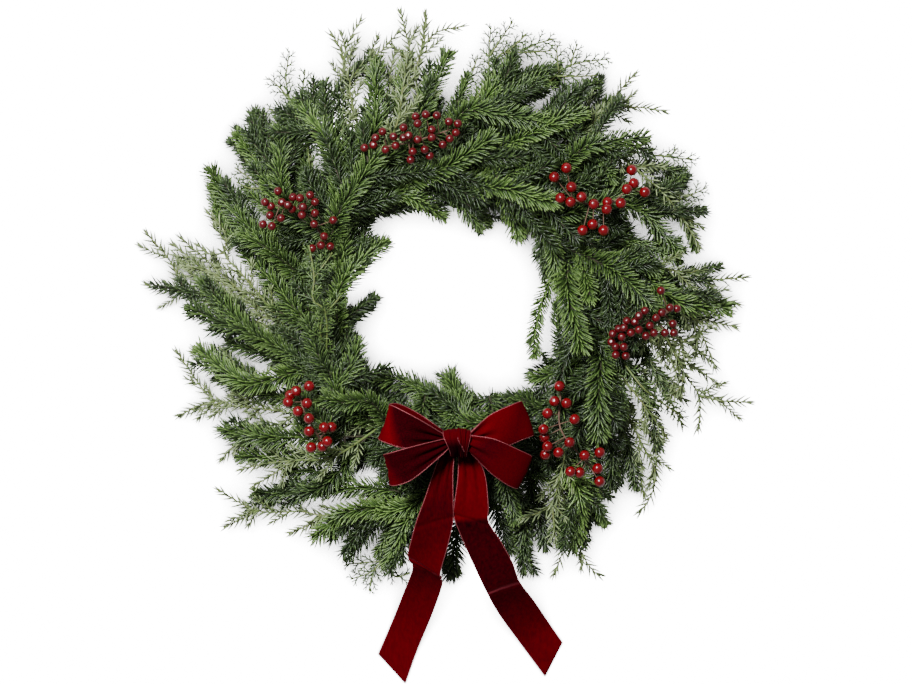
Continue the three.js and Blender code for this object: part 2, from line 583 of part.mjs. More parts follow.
/** The fir branches: the shoots of a clamp in groups, from the inside of the wreath out. */
function firBranches() {
  return shootsByClamp().flatMap((shoots, clamp) => {
    shoots.sort((a, b) => planRadius(planPoint(a.plan[2])) - planRadius(planPoint(b.plan[2])));
    const count = Math.max(1, Math.round(shoots.length / FIR_PER_BRANCH));
    return Array.from({ length: count }, (_, group) => {
      const offset = (group - (count - 1) / 2) * STEM_SPACING;
      return {
        name: `fir_branch_${twoDigits(clamp)}_${'abcd'[group]}`,
        kind: 'fir',
        clamp,
        offset,
        height: stemSeat(offset),
        radius: STEM_RADIUS,
        members: shoots.filter((_, i) => Math.floor((i * count) / shoots.length) === group).sort(byLayer),
      };
    });
  });
}

/** The juniper and cypress sprigs: those of one kind in a clamp share a stem. */
function sprigBunches() {
  return ['juniper', 'cypress'].flatMap((kind, row) => (
    sprigsByClamp(kind).map((members, clamp) => ({
      name: `${kind}_sprig_${twoDigits(clamp)}`,
      kind,
      clamp,
      offset: (row - 0.5) * STEM_SPACING,
      height: SPRIG_ROW_HEIGHT,
      radius: SPRIG_RADIUS,
      members: members.sort(byLayer),
    })).filter((bunch) => bunch.members.length > 0)));
}

const FORK_SHARES = [0.45, 0.6, 0.3, 0.75, 0.9]; // of the way out to a side shoot, in order of choice

/** The path of a side shoot, from the first fork on its trunk that has a clear way out. */
function forkedPath(branch, member) {
  for (const share of FORK_SHARES) {
    const fork = forkTowards(branch.trunk, planPoint(member.plan[0]), share);
    const points = stemFromFork(branch.trunk, member.plan, member.layer, fork);
    const path = settle(branch.name, sampledCurve(points), branch.radius, FORK_LENGTH);
    if (path) return path;
  }
  return null;
}

/** Adds a strand to a branch, where it found a way. */
function addStrand(branch, strand) {
  if (strand.path) branch.strands.push(strand);
  else console.warn(`${branch.name}: no clear way for a strand`);
}

/** Lays out a branch's trunk: the first of its shoots that has a clear way from the clamp. */
function layTrunk(branch) {
  for (const member of branch.members) {
    const points = stemFromClamp(branch.clamp, branch.offset, branch.height, member.plan, member.layer);
    const path = settle(branch.name, sampledCurve(points), branch.radius, HELD_LENGTH);
    if (path) {
      branch.trunk = path;
      branch.strands = [{ ...member, path, bare: planPoint(member.plan[0]), forked: false }];
      return;
    }
  }
}

/** Lays out the twigs that fork from one of a branch's stems. */
function layTwigs(branch, { twigs, path: stem }) {
  const known = stem.slice();
  twigs.forEach((plan) => {
    const start = planPoint(plan[0]);
    const fork = known.reduce((best, point) => (
      planDistance(point, start) < planDistance(best, start) ? point : best));
    const points = plan.slice(1).map((place) => planPoint(place, fork.z));
    const path = settle(branch.name, sampledCurve([fork.clone(), ...points]), TWIG_RADIUS, FORK_LENGTH);
    known.push(...(path ?? []));
    addStrand(branch, { path, bare: start, twig: true, forked: true });
  });
}

/** Lays out every stem: the trunks, then the side shoots from the lowest layer up, then twigs. */
function layOut(branches) {
  branches.slice().sort((a, b) => a.members[0].layer - b.members[0].layer).forEach(layTrunk);
  const jobs = branches.flatMap((branch) => (
    branch.members.filter(({ plan }) => plan !== branch.strands[0].plan)
      .map((member) => ({ branch, member }))));
  jobs.sort((a, b) => a.member.layer - b.member.layer).forEach(({ branch, member }) => {
    const bare = planPoint(member.plan[0]);
    addStrand(branch, { ...member, path: forkedPath(branch, member), bare, forked: true });
  });
  branches.forEach((branch) => {
    branch.strands.filter(({ twigs }) => twigs).forEach((strand) => layTwigs(branch, strand));
  });
}

// ---- Needles ----
const filled = []; // the segments that stems, needles, berries and ribbons fill

/** Marks the room round a segment as filled; a needle may touch what its own strand fills. */
function fill(node, start, end, radius, owner = null) {
  filled.push({ node, line: new THREE.Line3(start, end), radius, owner });
}

/** The least distance between two straight segments. */
function segmentDistance(p, q) {
  const d1 = p.end.clone().sub(p.start);
  const d2 = q.end.clone().sub(q.start);
  const r = p.start.clone().sub(q.start);
  const [a, e, f] = [d1.lengthSq(), d2.lengthSq(), d2.dot(r)];
  const c = d1.dot(r);
  const b = d1.dot(d2);
  const limit = (value) => THREE.MathUtils.clamp(value, 0, 1);
  const spread = a * e - b * b;
  let s = spread > 1e-9 ? limit((b * f - c * e) / spread) : 0;
  let t = e > 1e-9 ? (b * s + f) / e : 0;
  if (t < 0 || t > 1) {
    t = limit(t);
    s = a > 1e-9 ? limit((b * t - c) / a) : 0;
  }
  return p.start.clone().addScaledVector(d1, s).distanceTo(q.start.clone().addScaledVector(d2, t));
}

/** Whether a needle stays clear of the surface below and of all but its own stem. */
function hasRoom(owner, start, end, radius) {
  if (Math.min(start.z, end.z) < FLOOR_GAP + radius) return false;
  const line = new THREE.Line3(start, end);
  const length = line.distance();
  return filled.every((other) => {
    if (other.owner === owner) return true;
    const least = radius + other.radius + SOLID_GAP;
    if (start.distanceTo(other.line.start) > length + other.line.distance() + least) return true;
    return segmentDistance(line, other.line) > least;
  });
}

const NEEDLE_STYLES = {
  fir: { pitch: NEEDLE_PITCH, perRow: 2, lean: NEEDLE_LEAN, radius: NEEDLE_RADIUS },
  juniper: { pitch: AWL_PITCH, perRow: 1, lean: AWL_LEAN, radius: SLIM_RADIUS, length: AWL_LENGTH },
  cypress: {
    pitch: SCALE_TWIG_PITCH, perRow: 1, lean: SCALE_TWIG_LEAN, radius: SLIM_RADIUS, length: SCALE_TWIG_LENGTH },
};
const NUDGES = [0, 0.3, -0.3, 0.6, -0.6, 0.85, -0.85]; // turns round the stem that a needle tries
const TURN_SPREAD = 0.5; // how far needles stray from the middle of their face
const TIP_LEAN_LOSS = 0.4; // needles lie closer to the stem towards its tip
const SHORTEST_SHARE = 0.92; // of a needle's length
const LENGTH_SPREAD = 0.16;
const NEEDLE_CORE_SHARE = 0.9; // of its radius, which others keep off
const ROW_TWIST = 0.7;
const STEM_SIDES = 3;
const STEM_END_SHARE = 0.8; // of a stem's radius, before its pointed end
const FORK_RADIUS_SHARE = 0.6; // where a side stem starts inside its parent
const TIP_SAMPLES = 2; // the last of a path's samples are drawn out into its end needle

/** A needle from the middle of a face, or nothing where no direction has room. */
function needleFrom(branch, strand, geometry, rows, place, style, random) {
  const { row, face, index, share } = place;
  const corners = faceCorners(geometry, rows, row, face);
  const middle = corners.reduce((sum, { point }) => sum.add(point), new THREE.Vector3()).divideScalar(4);
  const { along } = acrossPath(strand.path, index);
  const across = corners[1].point.clone().sub(corners[0].point);
  const outward = across.cross(along).normalize();
  const turn = TURN_SPREAD * (random() - 0.5);
  const lean = style.lean * (1 - TIP_LEAN_LOSS * share ** 3);
  const length = style.length * (SHORTEST_SHARE + LENGTH_SPREAD * random());
  const core = style.radius * NEEDLE_CORE_SHARE;
  for (const nudge of NUDGES) {
    const direction = outward.clone().applyAxisAngle(along, turn + nudge).multiplyScalar(Math.sin(lean));
    direction.addScaledVector(along, Math.cos(lean));
    const tip = middle.clone().addScaledVector(direction, length);
    const start = middle.clone().addScaledVector(direction, 1);
    if (hasRoom(strand, start, tip, core)) {
      fill(branch.name, start, tip, core);
      return { row, face, middle, tip, radius: style.radius };
    }
  }
  return null;
}

/** One strand of a branch: its bare stem, then rows of faces with needles, and a pointed end. */
function strandSolid(branch, strand, random) {
  const { path } = strand;
  const radius = strand.twig ? TWIG_RADIUS : branch.radius;
  const style = { ...NEEDLE_STYLES[branch.kind] };
  style.length ??= (strand.reach * PLAN_UNIT - radius) / Math.sin(style.lean);
  const last = path.length - 1;
  const bareEnd = path.reduce((best, point, i) => (
    planDistance(point, strand.bare) < planDistance(path[best], strand.bare) ? i : best), 0);
  const end = last - TIP_SAMPLES;
  const start = THREE.MathUtils.clamp(bareEnd, 1, end - 1);
  const needled = Math.max(1, Math.round(((end - start) * SAMPLE_SPACING) / style.pitch));
  const stem = thinned(path.slice(0, start + 1)).map((point) => ({ index: path.indexOf(point) }));
  const grown = Array.from({ length: needled }, (_, i) => (
    { index: Math.round(start + ((i + 1) / needled) * (end - start)), twist: (i + 1) * ROW_TWIST }));
  const stations = [...stem, ...grown];
  stations.forEach((station, i) => {
    station.radius = radius * THREE.MathUtils.lerp(1, STEM_END_SHARE, i / stations.length);
  });
  if (strand.forked) stations[0].radius = radius * FORK_RADIUS_SHARE;
  const closed = [{ index: 0, radius: 0 }, ...stations, { index: last, radius: 0 }];
  const geometry = stemGeometry(path, closed, STEM_SIDES);
  const spikes = [];
  for (let i = 0; i < needled; i += 1) {
    for (let n = 0; n < style.perRow; n += 1) {
      const place = {
        row: stem.length + i,
        face: (i + 2 * n) % STEM_SIDES,
        index: grown[i].index,
        share: (i + 1) / needled,
      };
      const spike = needleFrom(branch, strand, geometry, closed.length, place, style, random);
      if (spike) spikes.push(spike);
    }
  }
  return spikedSolid(geometry, closed.length, STEM_SIDES, spikes);
}

/** The fewest of a path's points that keep within a small distance of it. */
function thinned(path, tolerance = 0.5) {
  const last = path.length - 1;
  const chord = new THREE.Line3(path[0], path[last]);
  const onChord = new THREE.Vector3();
  const offsets = path.map((point) => chord.closestPointToPoint(point, true, onChord).distanceTo(point));
  const furthest = offsets.indexOf(Math.max(...offsets));
  if (offsets[furthest] <= tolerance) return [path[0], path[last]];
  return [...thinned(path.slice(0, furthest + 1), tolerance).slice(0, -1),
    ...thinned(path.slice(furthest), tolerance)];
}

/** Marks the room that a branch's stems fill. */
function fillStems(branch) {
  branch.strands.forEach((strand) => {
    const radius = strand.twig ? TWIG_RADIUS : branch.radius;
    strand.path.slice(1).forEach((point, i) => fill(branch.name, strand.path[i], point, radius, strand));
  });
}

// ---- The frame: a round wire with clamps welded across it ----
const RING_SAMPLES = 180;

/** The frame, whose wire and clamps are marked as taken and filled. */
function frameSolid() {
  const outline = new THREE.Shape();
  for (let i = 0; i < WIRE_SIDES; i += 1) {
    const angle = THREE.MathUtils.degToRad((i * 360) / WIRE_SIDES);
    const corner = [WIRE_RADIUS * Math.cos(angle), WIRE_RADIUS * Math.sin(angle)];
    outline[i === 0 ? 'moveTo' : 'lineTo'](...corner);
  }
  const profile = outline.getPoints().map((p) => new THREE.Vector2(RING_RADIUS + p.x, p.y));
  const ring = new THREE.LatheGeometry([...profile, profile[0]], RING_SEGMENTS);
  ring.rotateX(Math.PI / 2);
  ring.translate(0, 0, WIRE_HALF_HEIGHT);
  const clamps = Array.from({ length: CLAMP_COUNT }, (_, index) => {
    const { centre, outward, clockwise } = clampFrame(index);
    const across = [[-CLAMP_LIP, CLAMP_HEIGHT], [-CLAMP_HALF_WIDTH, CLAMP_HEIGHT],
      [-CLAMP_HALF_WIDTH, WIRE_HALF_HEIGHT], [CLAMP_HALF_WIDTH, WIRE_HALF_HEIGHT],
      [CLAMP_HALF_WIDTH, CLAMP_HEIGHT], [CLAMP_LIP, CLAMP_HEIGHT]];
    const path = across.map(([x, z]) => centre.clone().addScaledVector(outward, x).setZ(z));
    path.slice(1).forEach((point, i) => {
      fill('wire_frame', path[i], point, CLAMP_WIRE_RADIUS);
      const middle = path[i].clone().lerp(point, 0.5);
      take('wire_frame', [path[i], middle, point], CLAMP_WIRE_RADIUS);
    });
    return clampWire(path, clockwise);
  });
  for (let step = 0; step < RING_SAMPLES; step += 1) {
    const angle = (step / RING_SAMPLES) * 2 * Math.PI;
    const on = (turn) => new THREE.Vector3(Math.cos(turn), Math.sin(turn), 0).multiplyScalar(RING_RADIUS)
      .setZ(WIRE_HALF_HEIGHT);
    take('wire_frame', [on(angle)], 0);
    fill('wire_frame', on(angle), on(angle + (2 * Math.PI) / RING_SAMPLES), WIRE_RADIUS);
  }
  return fused([solidOf(ring), ...clamps]);
}

/** A clamp's bent wire: a four-sided tube in the plane across the frame. */
function clampWire(path, normal) {
  const stations = [0, ...path.map((_, i) => i), path.length - 1];
  const profile = stations.map((_, i) => (
    new THREE.Vector2(i === 0 || i === stations.length - 1 ? 0 : CLAMP_WIRE_RADIUS, i)));
  const outline = new THREE.LatheGeometry(profile, 4);
  const position = outline.attributes.position;
  for (let v = 0; v < position.count; v += 1) {
    const index = stations[Math.round(position.getY(v))];
    const along = path[Math.min(index + 1, path.length - 1)].clone().sub(path[Math.max(index - 1, 0)]);
    const side = along.clone().cross(normal).normalize();
    const corner = path[index].clone().addScaledVector(side, position.getX(v));
    corner.addScaledVector(normal, position.getZ(v));
    position.setXYZ(v, corner.x, corner.y, corner.z);
  }
  return solidOf(outline);
}

// ---- The bow ----
/** A strip of ribbon between two edges. */
function ribbonSolid(name, [firstEdge, secondEdge]) {
  const steps = firstEdge.length + RIBBON_EXTRA_ROWS;
  const edges = [firstEdge, secondEdge].map((edge) => new THREE.CatmullRomCurve3(
    edge.map(([x, y, z]) => planPoint([x, y], z)), false, 'catmullrom', 0.5));
  const strip = new THREE.BoxGeometry(1, 1, 1, 1, steps, 1);
  const position = strip.attributes.position;
  const rows = Array.from({ length: steps + 1 }, (_, i) => edges.map((edge) => edge.getPoint(i / steps)));
  for (let v = 0; v < position.count; v += 1) {
    const row = Math.round((position.getY(v) + 0.5) * steps);
    const [left, right] = rows[row];
    const next = rows[Math.min(row + 1, steps)];
    const previous = rows[Math.max(row - 1, 0)];
    const along = next[0].clone().add(next[1]).sub(previous[0]).sub(previous[1]);
    const normal = right.clone().sub(left).cross(along).normalize();
    const corner = left.clone().lerp(right, position.getX(v) + 0.5);
    corner.addScaledVector(normal, position.getZ(v) * RIBBON_THICKNESS);
    position.setXYZ(v, corner.x, corner.y, corner.z);
  }
  rows.forEach(([left, right], i) => {
    const next = rows[Math.min(i + 1, steps)];
    [0, 0.25, 0.5, 0.75].forEach((share) => {
      const start = left.clone().lerp(next[0], share);
      const end = right.clone().lerp(next[1], share);
      fill(name, start, end, RIBBON_CORE);
      [0, 0.25, 0.5, 0.75, 1].forEach((across) => take(name, [start.clone().lerp(end, across)], RIBBON_ROOM));
    });
  });
  return solidOf(strip);
}

/** The knot: the centre strip wound over the gathered middle. */
function knotSolid() {
  const outline = [[0, -1], ...KNOT_PROFILE, [0, 1]].map(
    ([radius, x]) => new THREE.Vector2(radius, x * KNOT_HALF_LENGTH));
  const barrel = new THREE.LatheGeometry(outline, KNOT_SIDES);
  barrel.rotateZ(-Math.PI / 2);
  const centre = planPoint(KNOT_PLAN, KNOT_HEIGHT);
  barrel.translate(centre.x, centre.y, centre.z);
  const end = new THREE.Vector3(KNOT_HALF_LENGTH - KNOT_INSET, 0, 0);
  fill('bow_knot', centre.clone().sub(end), centre.clone().add(end), KNOT_CORE);
  take('bow_knot', [centre], KNOT_ROOM);
  return solidOf(barrel);
}

// ---- Berries ----
/** Where a cluster's berries and spine lie: highest in its middle. */
function clusterLayout([name, radius, top, spine, berries]) {
  const random = seededRandom(name.length);
  const centre = berries.map((place) => planPoint(place)).reduce((sum, p) => sum.add(p), new THREE.Vector3())
    .divideScalar(berries.length);
  const centres = berries.map((place) => {
    const point = planPoint(place);
    return point.setZ(top - radius - CLUSTER_DROP * planDistance(point, centre) - BERRY_SCATTER * random());
  });
  const spinePath = sampledCurve(spine.map((place) => {
    const point = planPoint(place);
    return point.setZ(top - radius - SPINE_DEPTH - CLUSTER_DROP * planDistance(point, centre));
  }));
  take(name, centres, radius + BERRY_MARGIN);
  take(name, spinePath, STALK_RADIUS);
  return { name, radius, centres, spinePath };
}

const STALK_TURN = 0.008; // between the places along the frame that a stalk tries, in radians
const STALK_TRIES = 90;
const STALK_CLEARANCE = 0.8;
const STALK_SAMPLE_SPACING = 3;
const STALK_END_SAMPLES = 3; // next to its foot and its top, which aren't tested

/** A straight wired stalk down to the frame that keeps clear of every stem. */
function stalkTo(name, top, radius) {
  const start = Math.atan2(top.y, top.x);
  for (let step = 0; step < STALK_TRIES; step += 1) {
    for (const way of [1, -1]) {
      const angle = start + way * step * STALK_TURN;
      const foot = new THREE.Vector3(Math.cos(angle), Math.sin(angle), 0).multiplyScalar(RING_RADIUS)
        .setZ(FOOT_HEIGHT);
      const count = Math.ceil(top.distanceTo(foot) / STALK_SAMPLE_SPACING);
      const points = Array.from(
        { length: count - STALK_END_SAMPLES }, (_, i) => top.clone().lerp(foot, (i + 1) / count));
      if (placed.every((other) => other.node === name || other.node === 'wire_frame'
        || points.every((point) => point.distanceTo(other.point) > radius + other.radius + STALK_CLEARANCE))) {
        take(name, points, radius);
        return foot;
      }
    }
  }
  console.warn(`${name}: no clear stalk`);
  return null;
}

/** A stalk along a path. */
const stalkSolid = (path) => taperedStem(thinned(path), STALK_RADIUS, STALK_RADIUS, STALK_RADIUS, 4);

/** A berry's own stem, from its root into the berry. */
const berryStem = (root, berry) => (
  taperedStem([root, berry.clone().lerp(root, -BERRY_STEM_OVERRUN)], BERRY_STEM_SWELL * BERRY_STEM_RADIUS,
    BERRY_STEM_RADIUS, 0, 3));

/** A cluster: its spine, its stalk down to the frame, and each berry on its stem. */
function clusterSolid({ name, radius, centres, spinePath }) {
  const foot = stalkTo(name, spinePath[0], STALK_RADIUS);
  const solids = [stalkSolid(spinePath)];
  if (foot) {
    solids.push(stalkSolid([spinePath[1], spinePath[0], foot]));
    fill(name, spinePath[0], foot, STALK_RADIUS);
  }
  centres.forEach((centre) => {
    const root = spinePath.reduce((best, point) => (
      point.distanceTo(centre) < best.distanceTo(centre) ? point : best));
    const corner = radius * BERRY_CORNER_SCALE;
    const berry = new THREE.IcosahedronGeometry(corner, 0);
    berry.rotateX(centre.x).rotateY(centre.y);
    berry.translate(centre.x, centre.y, centre.z);
    solids.push(solidOf(berry), berryStem(root, centre));
    fill(name, centre, centre.clone().add(new THREE.Vector3(0, 0, 0.1)), corner);
    fill(name, root, centre, BERRY_STEM_RADIUS);
  });
  return fused(solids);
}

// ---- The whole wreath ----
const NEEDLE_SEED = 24;

/** The wreath's pieces, each made once what it keeps clear of has its place. */
function buildWreath() {
  const wreath = new THREE.Group();
  wreath.add(meshOf('wire_frame', frameSolid(), WIRE_GREEN));
  wreath.add(meshOf('bow_knot', knotSolid(), VELVET));
  Object.entries(RIBBONS).forEach(([name, edges]) => {
    wreath.add(meshOf(name, ribbonSolid(name, edges), VELVET));
  });
  const clusters = BERRY_CLUSTERS.map(clusterLayout);
  const branches = [...firBranches(), ...sprigBunches()];
  layOut(branches);
  branches.forEach(fillStems);
  const clusterSolids = clusters.map(clusterSolid);
  clusters.forEach(({ name, radius }, i) => {
    wreath.add(meshOf(name, clusterSolids[i], radius === BRIGHT_BERRY_RADIUS ? BRIGHT_RED : DARK_RED));
  });
  wreath.add(meshOf('bow_tie_wire', tieWireSolid(), WIRE_GREEN));
  const random = seededRandom(NEEDLE_SEED);
  const materials = { fir: FIR_GREEN, juniper: JUNIPER_GREEN, cypress: CYPRESS_GREEN };
  branches.forEach((branch) => {
    const solids = branch.strands.map((strand) => strandSolid(branch, strand, random));
    wreath.add(meshOf(branch.name, fused(solids), materials[branch.kind]));
  });
  return wreath;
}

/** The wire from the back of the knot down to the frame. */
function tieWireSolid() {
  const top = planPoint(KNOT_PLAN, KNOT_HEIGHT - TIE_TOP_DEPTH);
  const foot = stalkTo('bow_tie_wire', top, TIE_WIRE_RADIUS) ?? top.clone().setZ(FOOT_HEIGHT);
  fill('bow_tie_wire', top, foot, TIE_WIRE_RADIUS);
  const path = [top, top.clone().lerp(foot, 0.98), foot];
  return taperedStem(path, TIE_WIRE_RADIUS, TIE_WIRE_RADIUS, TIE_WIRE_RADIUS, 6);
}

/** Puts the origin under the middle of the whole, on the surface that it lies on. */
function centred(wreath) {
  const box = new THREE.Box3().setFromObject(wreath);
  const middle = box.getCenter(new THREE.Vector3());
  wreath.position.set(-middle.x, -middle.y, -box.min.z);
  return wreath;
}

export default centred(buildWreath());
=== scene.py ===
"""The looks of a fresh evergreen wreath: fir, juniper and cypress, berries and a velvet bow.

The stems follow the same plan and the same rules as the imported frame, in millimetres round
the centre of the wire ring, and each mesh is then written in metres in the frame's own axes.
"""

import logging
import math
from collections.abc import Callable, Iterable, Iterator, Sequence
from dataclasses import dataclass, field, replace
from enum import Enum

import bpy
import numpy as np
from bpy.types import ID, Material, Node, NodeOutputs, NodeSocket, NodeTree, Object
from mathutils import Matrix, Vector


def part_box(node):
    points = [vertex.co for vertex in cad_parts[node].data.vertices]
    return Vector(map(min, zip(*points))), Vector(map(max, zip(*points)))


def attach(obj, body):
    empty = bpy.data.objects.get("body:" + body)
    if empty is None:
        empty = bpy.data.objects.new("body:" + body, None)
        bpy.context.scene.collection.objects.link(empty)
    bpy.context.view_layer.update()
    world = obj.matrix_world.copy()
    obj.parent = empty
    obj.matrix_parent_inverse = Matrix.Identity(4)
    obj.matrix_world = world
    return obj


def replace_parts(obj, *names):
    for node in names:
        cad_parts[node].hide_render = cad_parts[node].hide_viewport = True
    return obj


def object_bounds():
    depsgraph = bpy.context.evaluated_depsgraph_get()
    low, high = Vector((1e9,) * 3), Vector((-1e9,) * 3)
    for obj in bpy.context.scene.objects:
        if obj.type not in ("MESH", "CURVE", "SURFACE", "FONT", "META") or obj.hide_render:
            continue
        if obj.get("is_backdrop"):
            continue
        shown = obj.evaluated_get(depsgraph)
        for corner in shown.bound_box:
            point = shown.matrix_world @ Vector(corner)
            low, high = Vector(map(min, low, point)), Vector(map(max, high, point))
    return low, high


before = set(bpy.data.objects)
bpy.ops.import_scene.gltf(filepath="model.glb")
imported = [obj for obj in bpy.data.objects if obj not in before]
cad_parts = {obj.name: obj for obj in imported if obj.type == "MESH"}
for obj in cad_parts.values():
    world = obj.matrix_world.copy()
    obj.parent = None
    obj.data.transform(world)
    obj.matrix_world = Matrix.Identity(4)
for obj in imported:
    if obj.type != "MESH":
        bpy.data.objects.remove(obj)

Array = np.ndarray
Pair = tuple[float, float]
Colour = tuple[float, float, float]
LOG = logging.getLogger("wreath")
MM = 0.001
UP = np.array([0.0, 0.0, 1.0])
BODY = "root"
SEED = 24


def ring_centre() -> Array:
    """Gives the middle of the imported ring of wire, on the floor, in metres."""
    low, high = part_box("wire_frame")
    return np.array([(low.x + high.x) / 2, (low.y + high.y) / 2, 0.0])


CENTRE = ring_centre()


class Layer(Enum):
    """How high in the foliage a shoot runs, as a share of the front layer's height."""

    BACK = 0.4
    MIDDLE = 0.7
    FRONT = 1.0


class Kind(Enum):
    """The plants in the wreath."""

    FIR = "fir"
    JUNIPER = "juniper"
    CYPRESS = "cypress"


# ---- The plan: x to the right and y downwards, in units of PLAN_UNIT millimetres ----
PLAN_UNIT = 1.07
PLAN_CENTRE = (455, 305)
DARK_BERRY = 4.3
BRIGHT_BERRY = 5.5

# Each fir shoot: its tone's letter, its needles' reach to a side, then its base, middle and tip.
# The tones are partly the shoots' own lightness and partly painted shade and light; B lifts the shoots at the
# lower right, which lie in the wreath's shade.
FIR_TONES = {"D": 0.12, "M": 0.5, "L": 0.88, "B": 1.4}
FIR_SHOOTS = {
    Layer.BACK: """
D 12 267,160 258,135 253,110
D 9 304,178 299,155 296,138
D 12 245,332 215,320 188,307
D 12 372,515 358,535 350,550
D 14 460,515 455,545 452,575
D 12 527,512 522,545 525,572
M 8 497,470 493,490 494,508
D 12 612,450 612,470 613,488
M 12 575,366 553,374 532,379
D 11 541,410 520,397 496,402
D 10 352,316 365,307 377,297
D 11 555,112 575,93 597,81
D 11 580,142 594,120 612,99
D 10 650,198 668,187 687,177
D 10 655,206 680,210 704,211
D 9 665,276 692,272 722,266
D 13 545,215 543,240 546,272
M 11 540,232 560,228 579,223""",
    Layer.MIDDLE: """
M 14 250,230 222,190 210,170
L 11 268,185 252,155 236,133
M 13 281,182 281,150 281,120
L 13 328,142 312,120 298,101
M 13 340,185 352,155 366,128
M 14 425,105 436,80 448,54
M 13 350,216 378,203 407,187
M 12 338,285 343,255 343,228
M 14 285,262 262,245 241,235
M 14 245,327 222,303 200,282
M 15 272,438 245,435 223,430
D 13 318,490 285,493 255,495
L 13 416,503 398,510 378,514
L 12 408,520 396,545 388,566
M 12 505,478 511,502 516,521
B 10 590,490 598,508 606,524
M 12 608,370 617,395 621,416
L 10 545,320 538,340 534,357
M 16 470,425 460,402 449,378
M 15 442,402 412,385 380,374
M 13 370,402 345,403 322,398
M 14 335,392 350,368 358,343
D 12 322,362 314,340 308,320
M 13 453,194 467,210 480,227
M 12 430,175 460,178 491,185
L 13 485,100 500,80 511,63
M 13 495,105 520,88 546,78
M 12 495,178 525,168 550,163
M 12 590,152 603,165 612,180
M 13 640,205 660,225 678,252
M 13 603,258 630,262 658,270
L 12 553,248 556,268 560,288
L 12 583,268 588,285 590,300
D 12 500,160 520,150 542,140""",
    Layer.FRONT: """
D 15 338,155 328,115 322,86
M 14 375,130 376,95 375,60
M 15 340,213 358,185 378,155
L 13 340,288 360,262 386,243
L 15 250,383 222,368 199,350
L 14 348,512 330,525 315,538
B 14 578,490 577,520 571,548
M 16 600,350 598,395 598,436
L 16 567,290 573,318 581,347
L 14 495,180 508,205 519,237
L 12 410,196 428,207 444,216
M 14 465,112 505,116 546,122
M 14 442,170 467,155 492,138
L 13 550,125 567,118 583,113
M 13 585,148 615,141 646,138
L 14 505,185 530,195 556,203
M 14 615,272 635,290 652,308
L 14 680,303 705,305 728,308""",
}

# Each sprig: its stem, and after a stroke each twig that forks from it.
SPRIGS = {
    (Kind.JUNIPER, Layer.BACK): """
605,112 620,90 637,72
600,110 640,107 667,111
660,190 672,203 687,225 701,249
700,292 727,300 742,305
695,315 715,322 738,327
655,338 675,341 697,343 / 685,342 700,333 713,327
625,435 630,455 640,475 645,498
560,520 563,550 553,577
270,410 252,408 213,400 190,372 175,350 / 213,400 195,408 177,416
250,430 235,445 219,461
330,515 300,512 257,511 216,489 / 257,511 240,520 223,528 / 320,513 303,528 288,534
228,280 208,262 178,236
215,275 188,265 172,252
230,310 200,300 185,293 170,262 144,231 / 185,293 165,290 144,284""",
    (Kind.JUNIPER, Layer.MIDDLE): """
416,105 414,70 408,42 400,8 / 415,75 421,50 426,12 / 421,50 437,32 464,26
670,270 688,272 715,279 748,277 / 700,276 708,283 717,293
690,315 700,330 709,350 716,370
640,325 655,342 685,375 700,398 698,432 / 700,395 722,401 752,402
650,340 668,352 700,370 719,386
640,400 655,420 668,438
645,450 655,470 653,492 639,515
565,450 560,475 550,505 520,520 / 550,503 554,525 556,545
568,520 578,545 590,567 601,578
330,458 300,460 270,463 238,470 / 290,462 272,475 252,487
240,272 225,255 226,235 206,210 / 225,255 210,254 197,244""",
    (Kind.JUNIPER, Layer.FRONT): """
343,140 343,110 346,48 362,17 / 344,58 337,42 330,33
350,85 362,66 382,50 400,30
398,122 402,95 408,55
675,355 683,370 680,395 / 682,385 675,393 667,400""",
    (Kind.CYPRESS, Layer.BACK): """
312,165 305,133 286,85 289,50 / 298,115 302,90 305,69 / 292,102 280,88 268,77
285,205 252,180 234,167 / 262,188 250,188 236,182
462,90 471,76 478,54
665,205 682,199 708,187
405,535 385,560 365,563 345,565 / 380,561 370,573 350,580 / 376,566 371,580 369,592 / 386,560 394,577 410,574""",
    (Kind.CYPRESS, Layer.MIDDLE): """
303,130 285,117 267,108
485,90 489,50 491,25 / 489,55 500,40 513,21
490,80 500,54 527,52 552,50 / 505,54 518,42 528,32 / 520,52 540,42 557,38
535,85 545,76 570,60 611,58 / 556,66 557,52 557,44 / 568,61 575,50 578,43 / 552,74 575,76 597,75
620,170 635,167 665,165 697,160 / 640,166 648,155 652,147 / 662,165 670,155 678,148""",
    (Kind.CYPRESS, Layer.FRONT): """
640,385 655,398 684,418
325,310 314,300 315,278 310,246 / 315,280 325,265 333,253
322,322 338,300 343,293""",
}
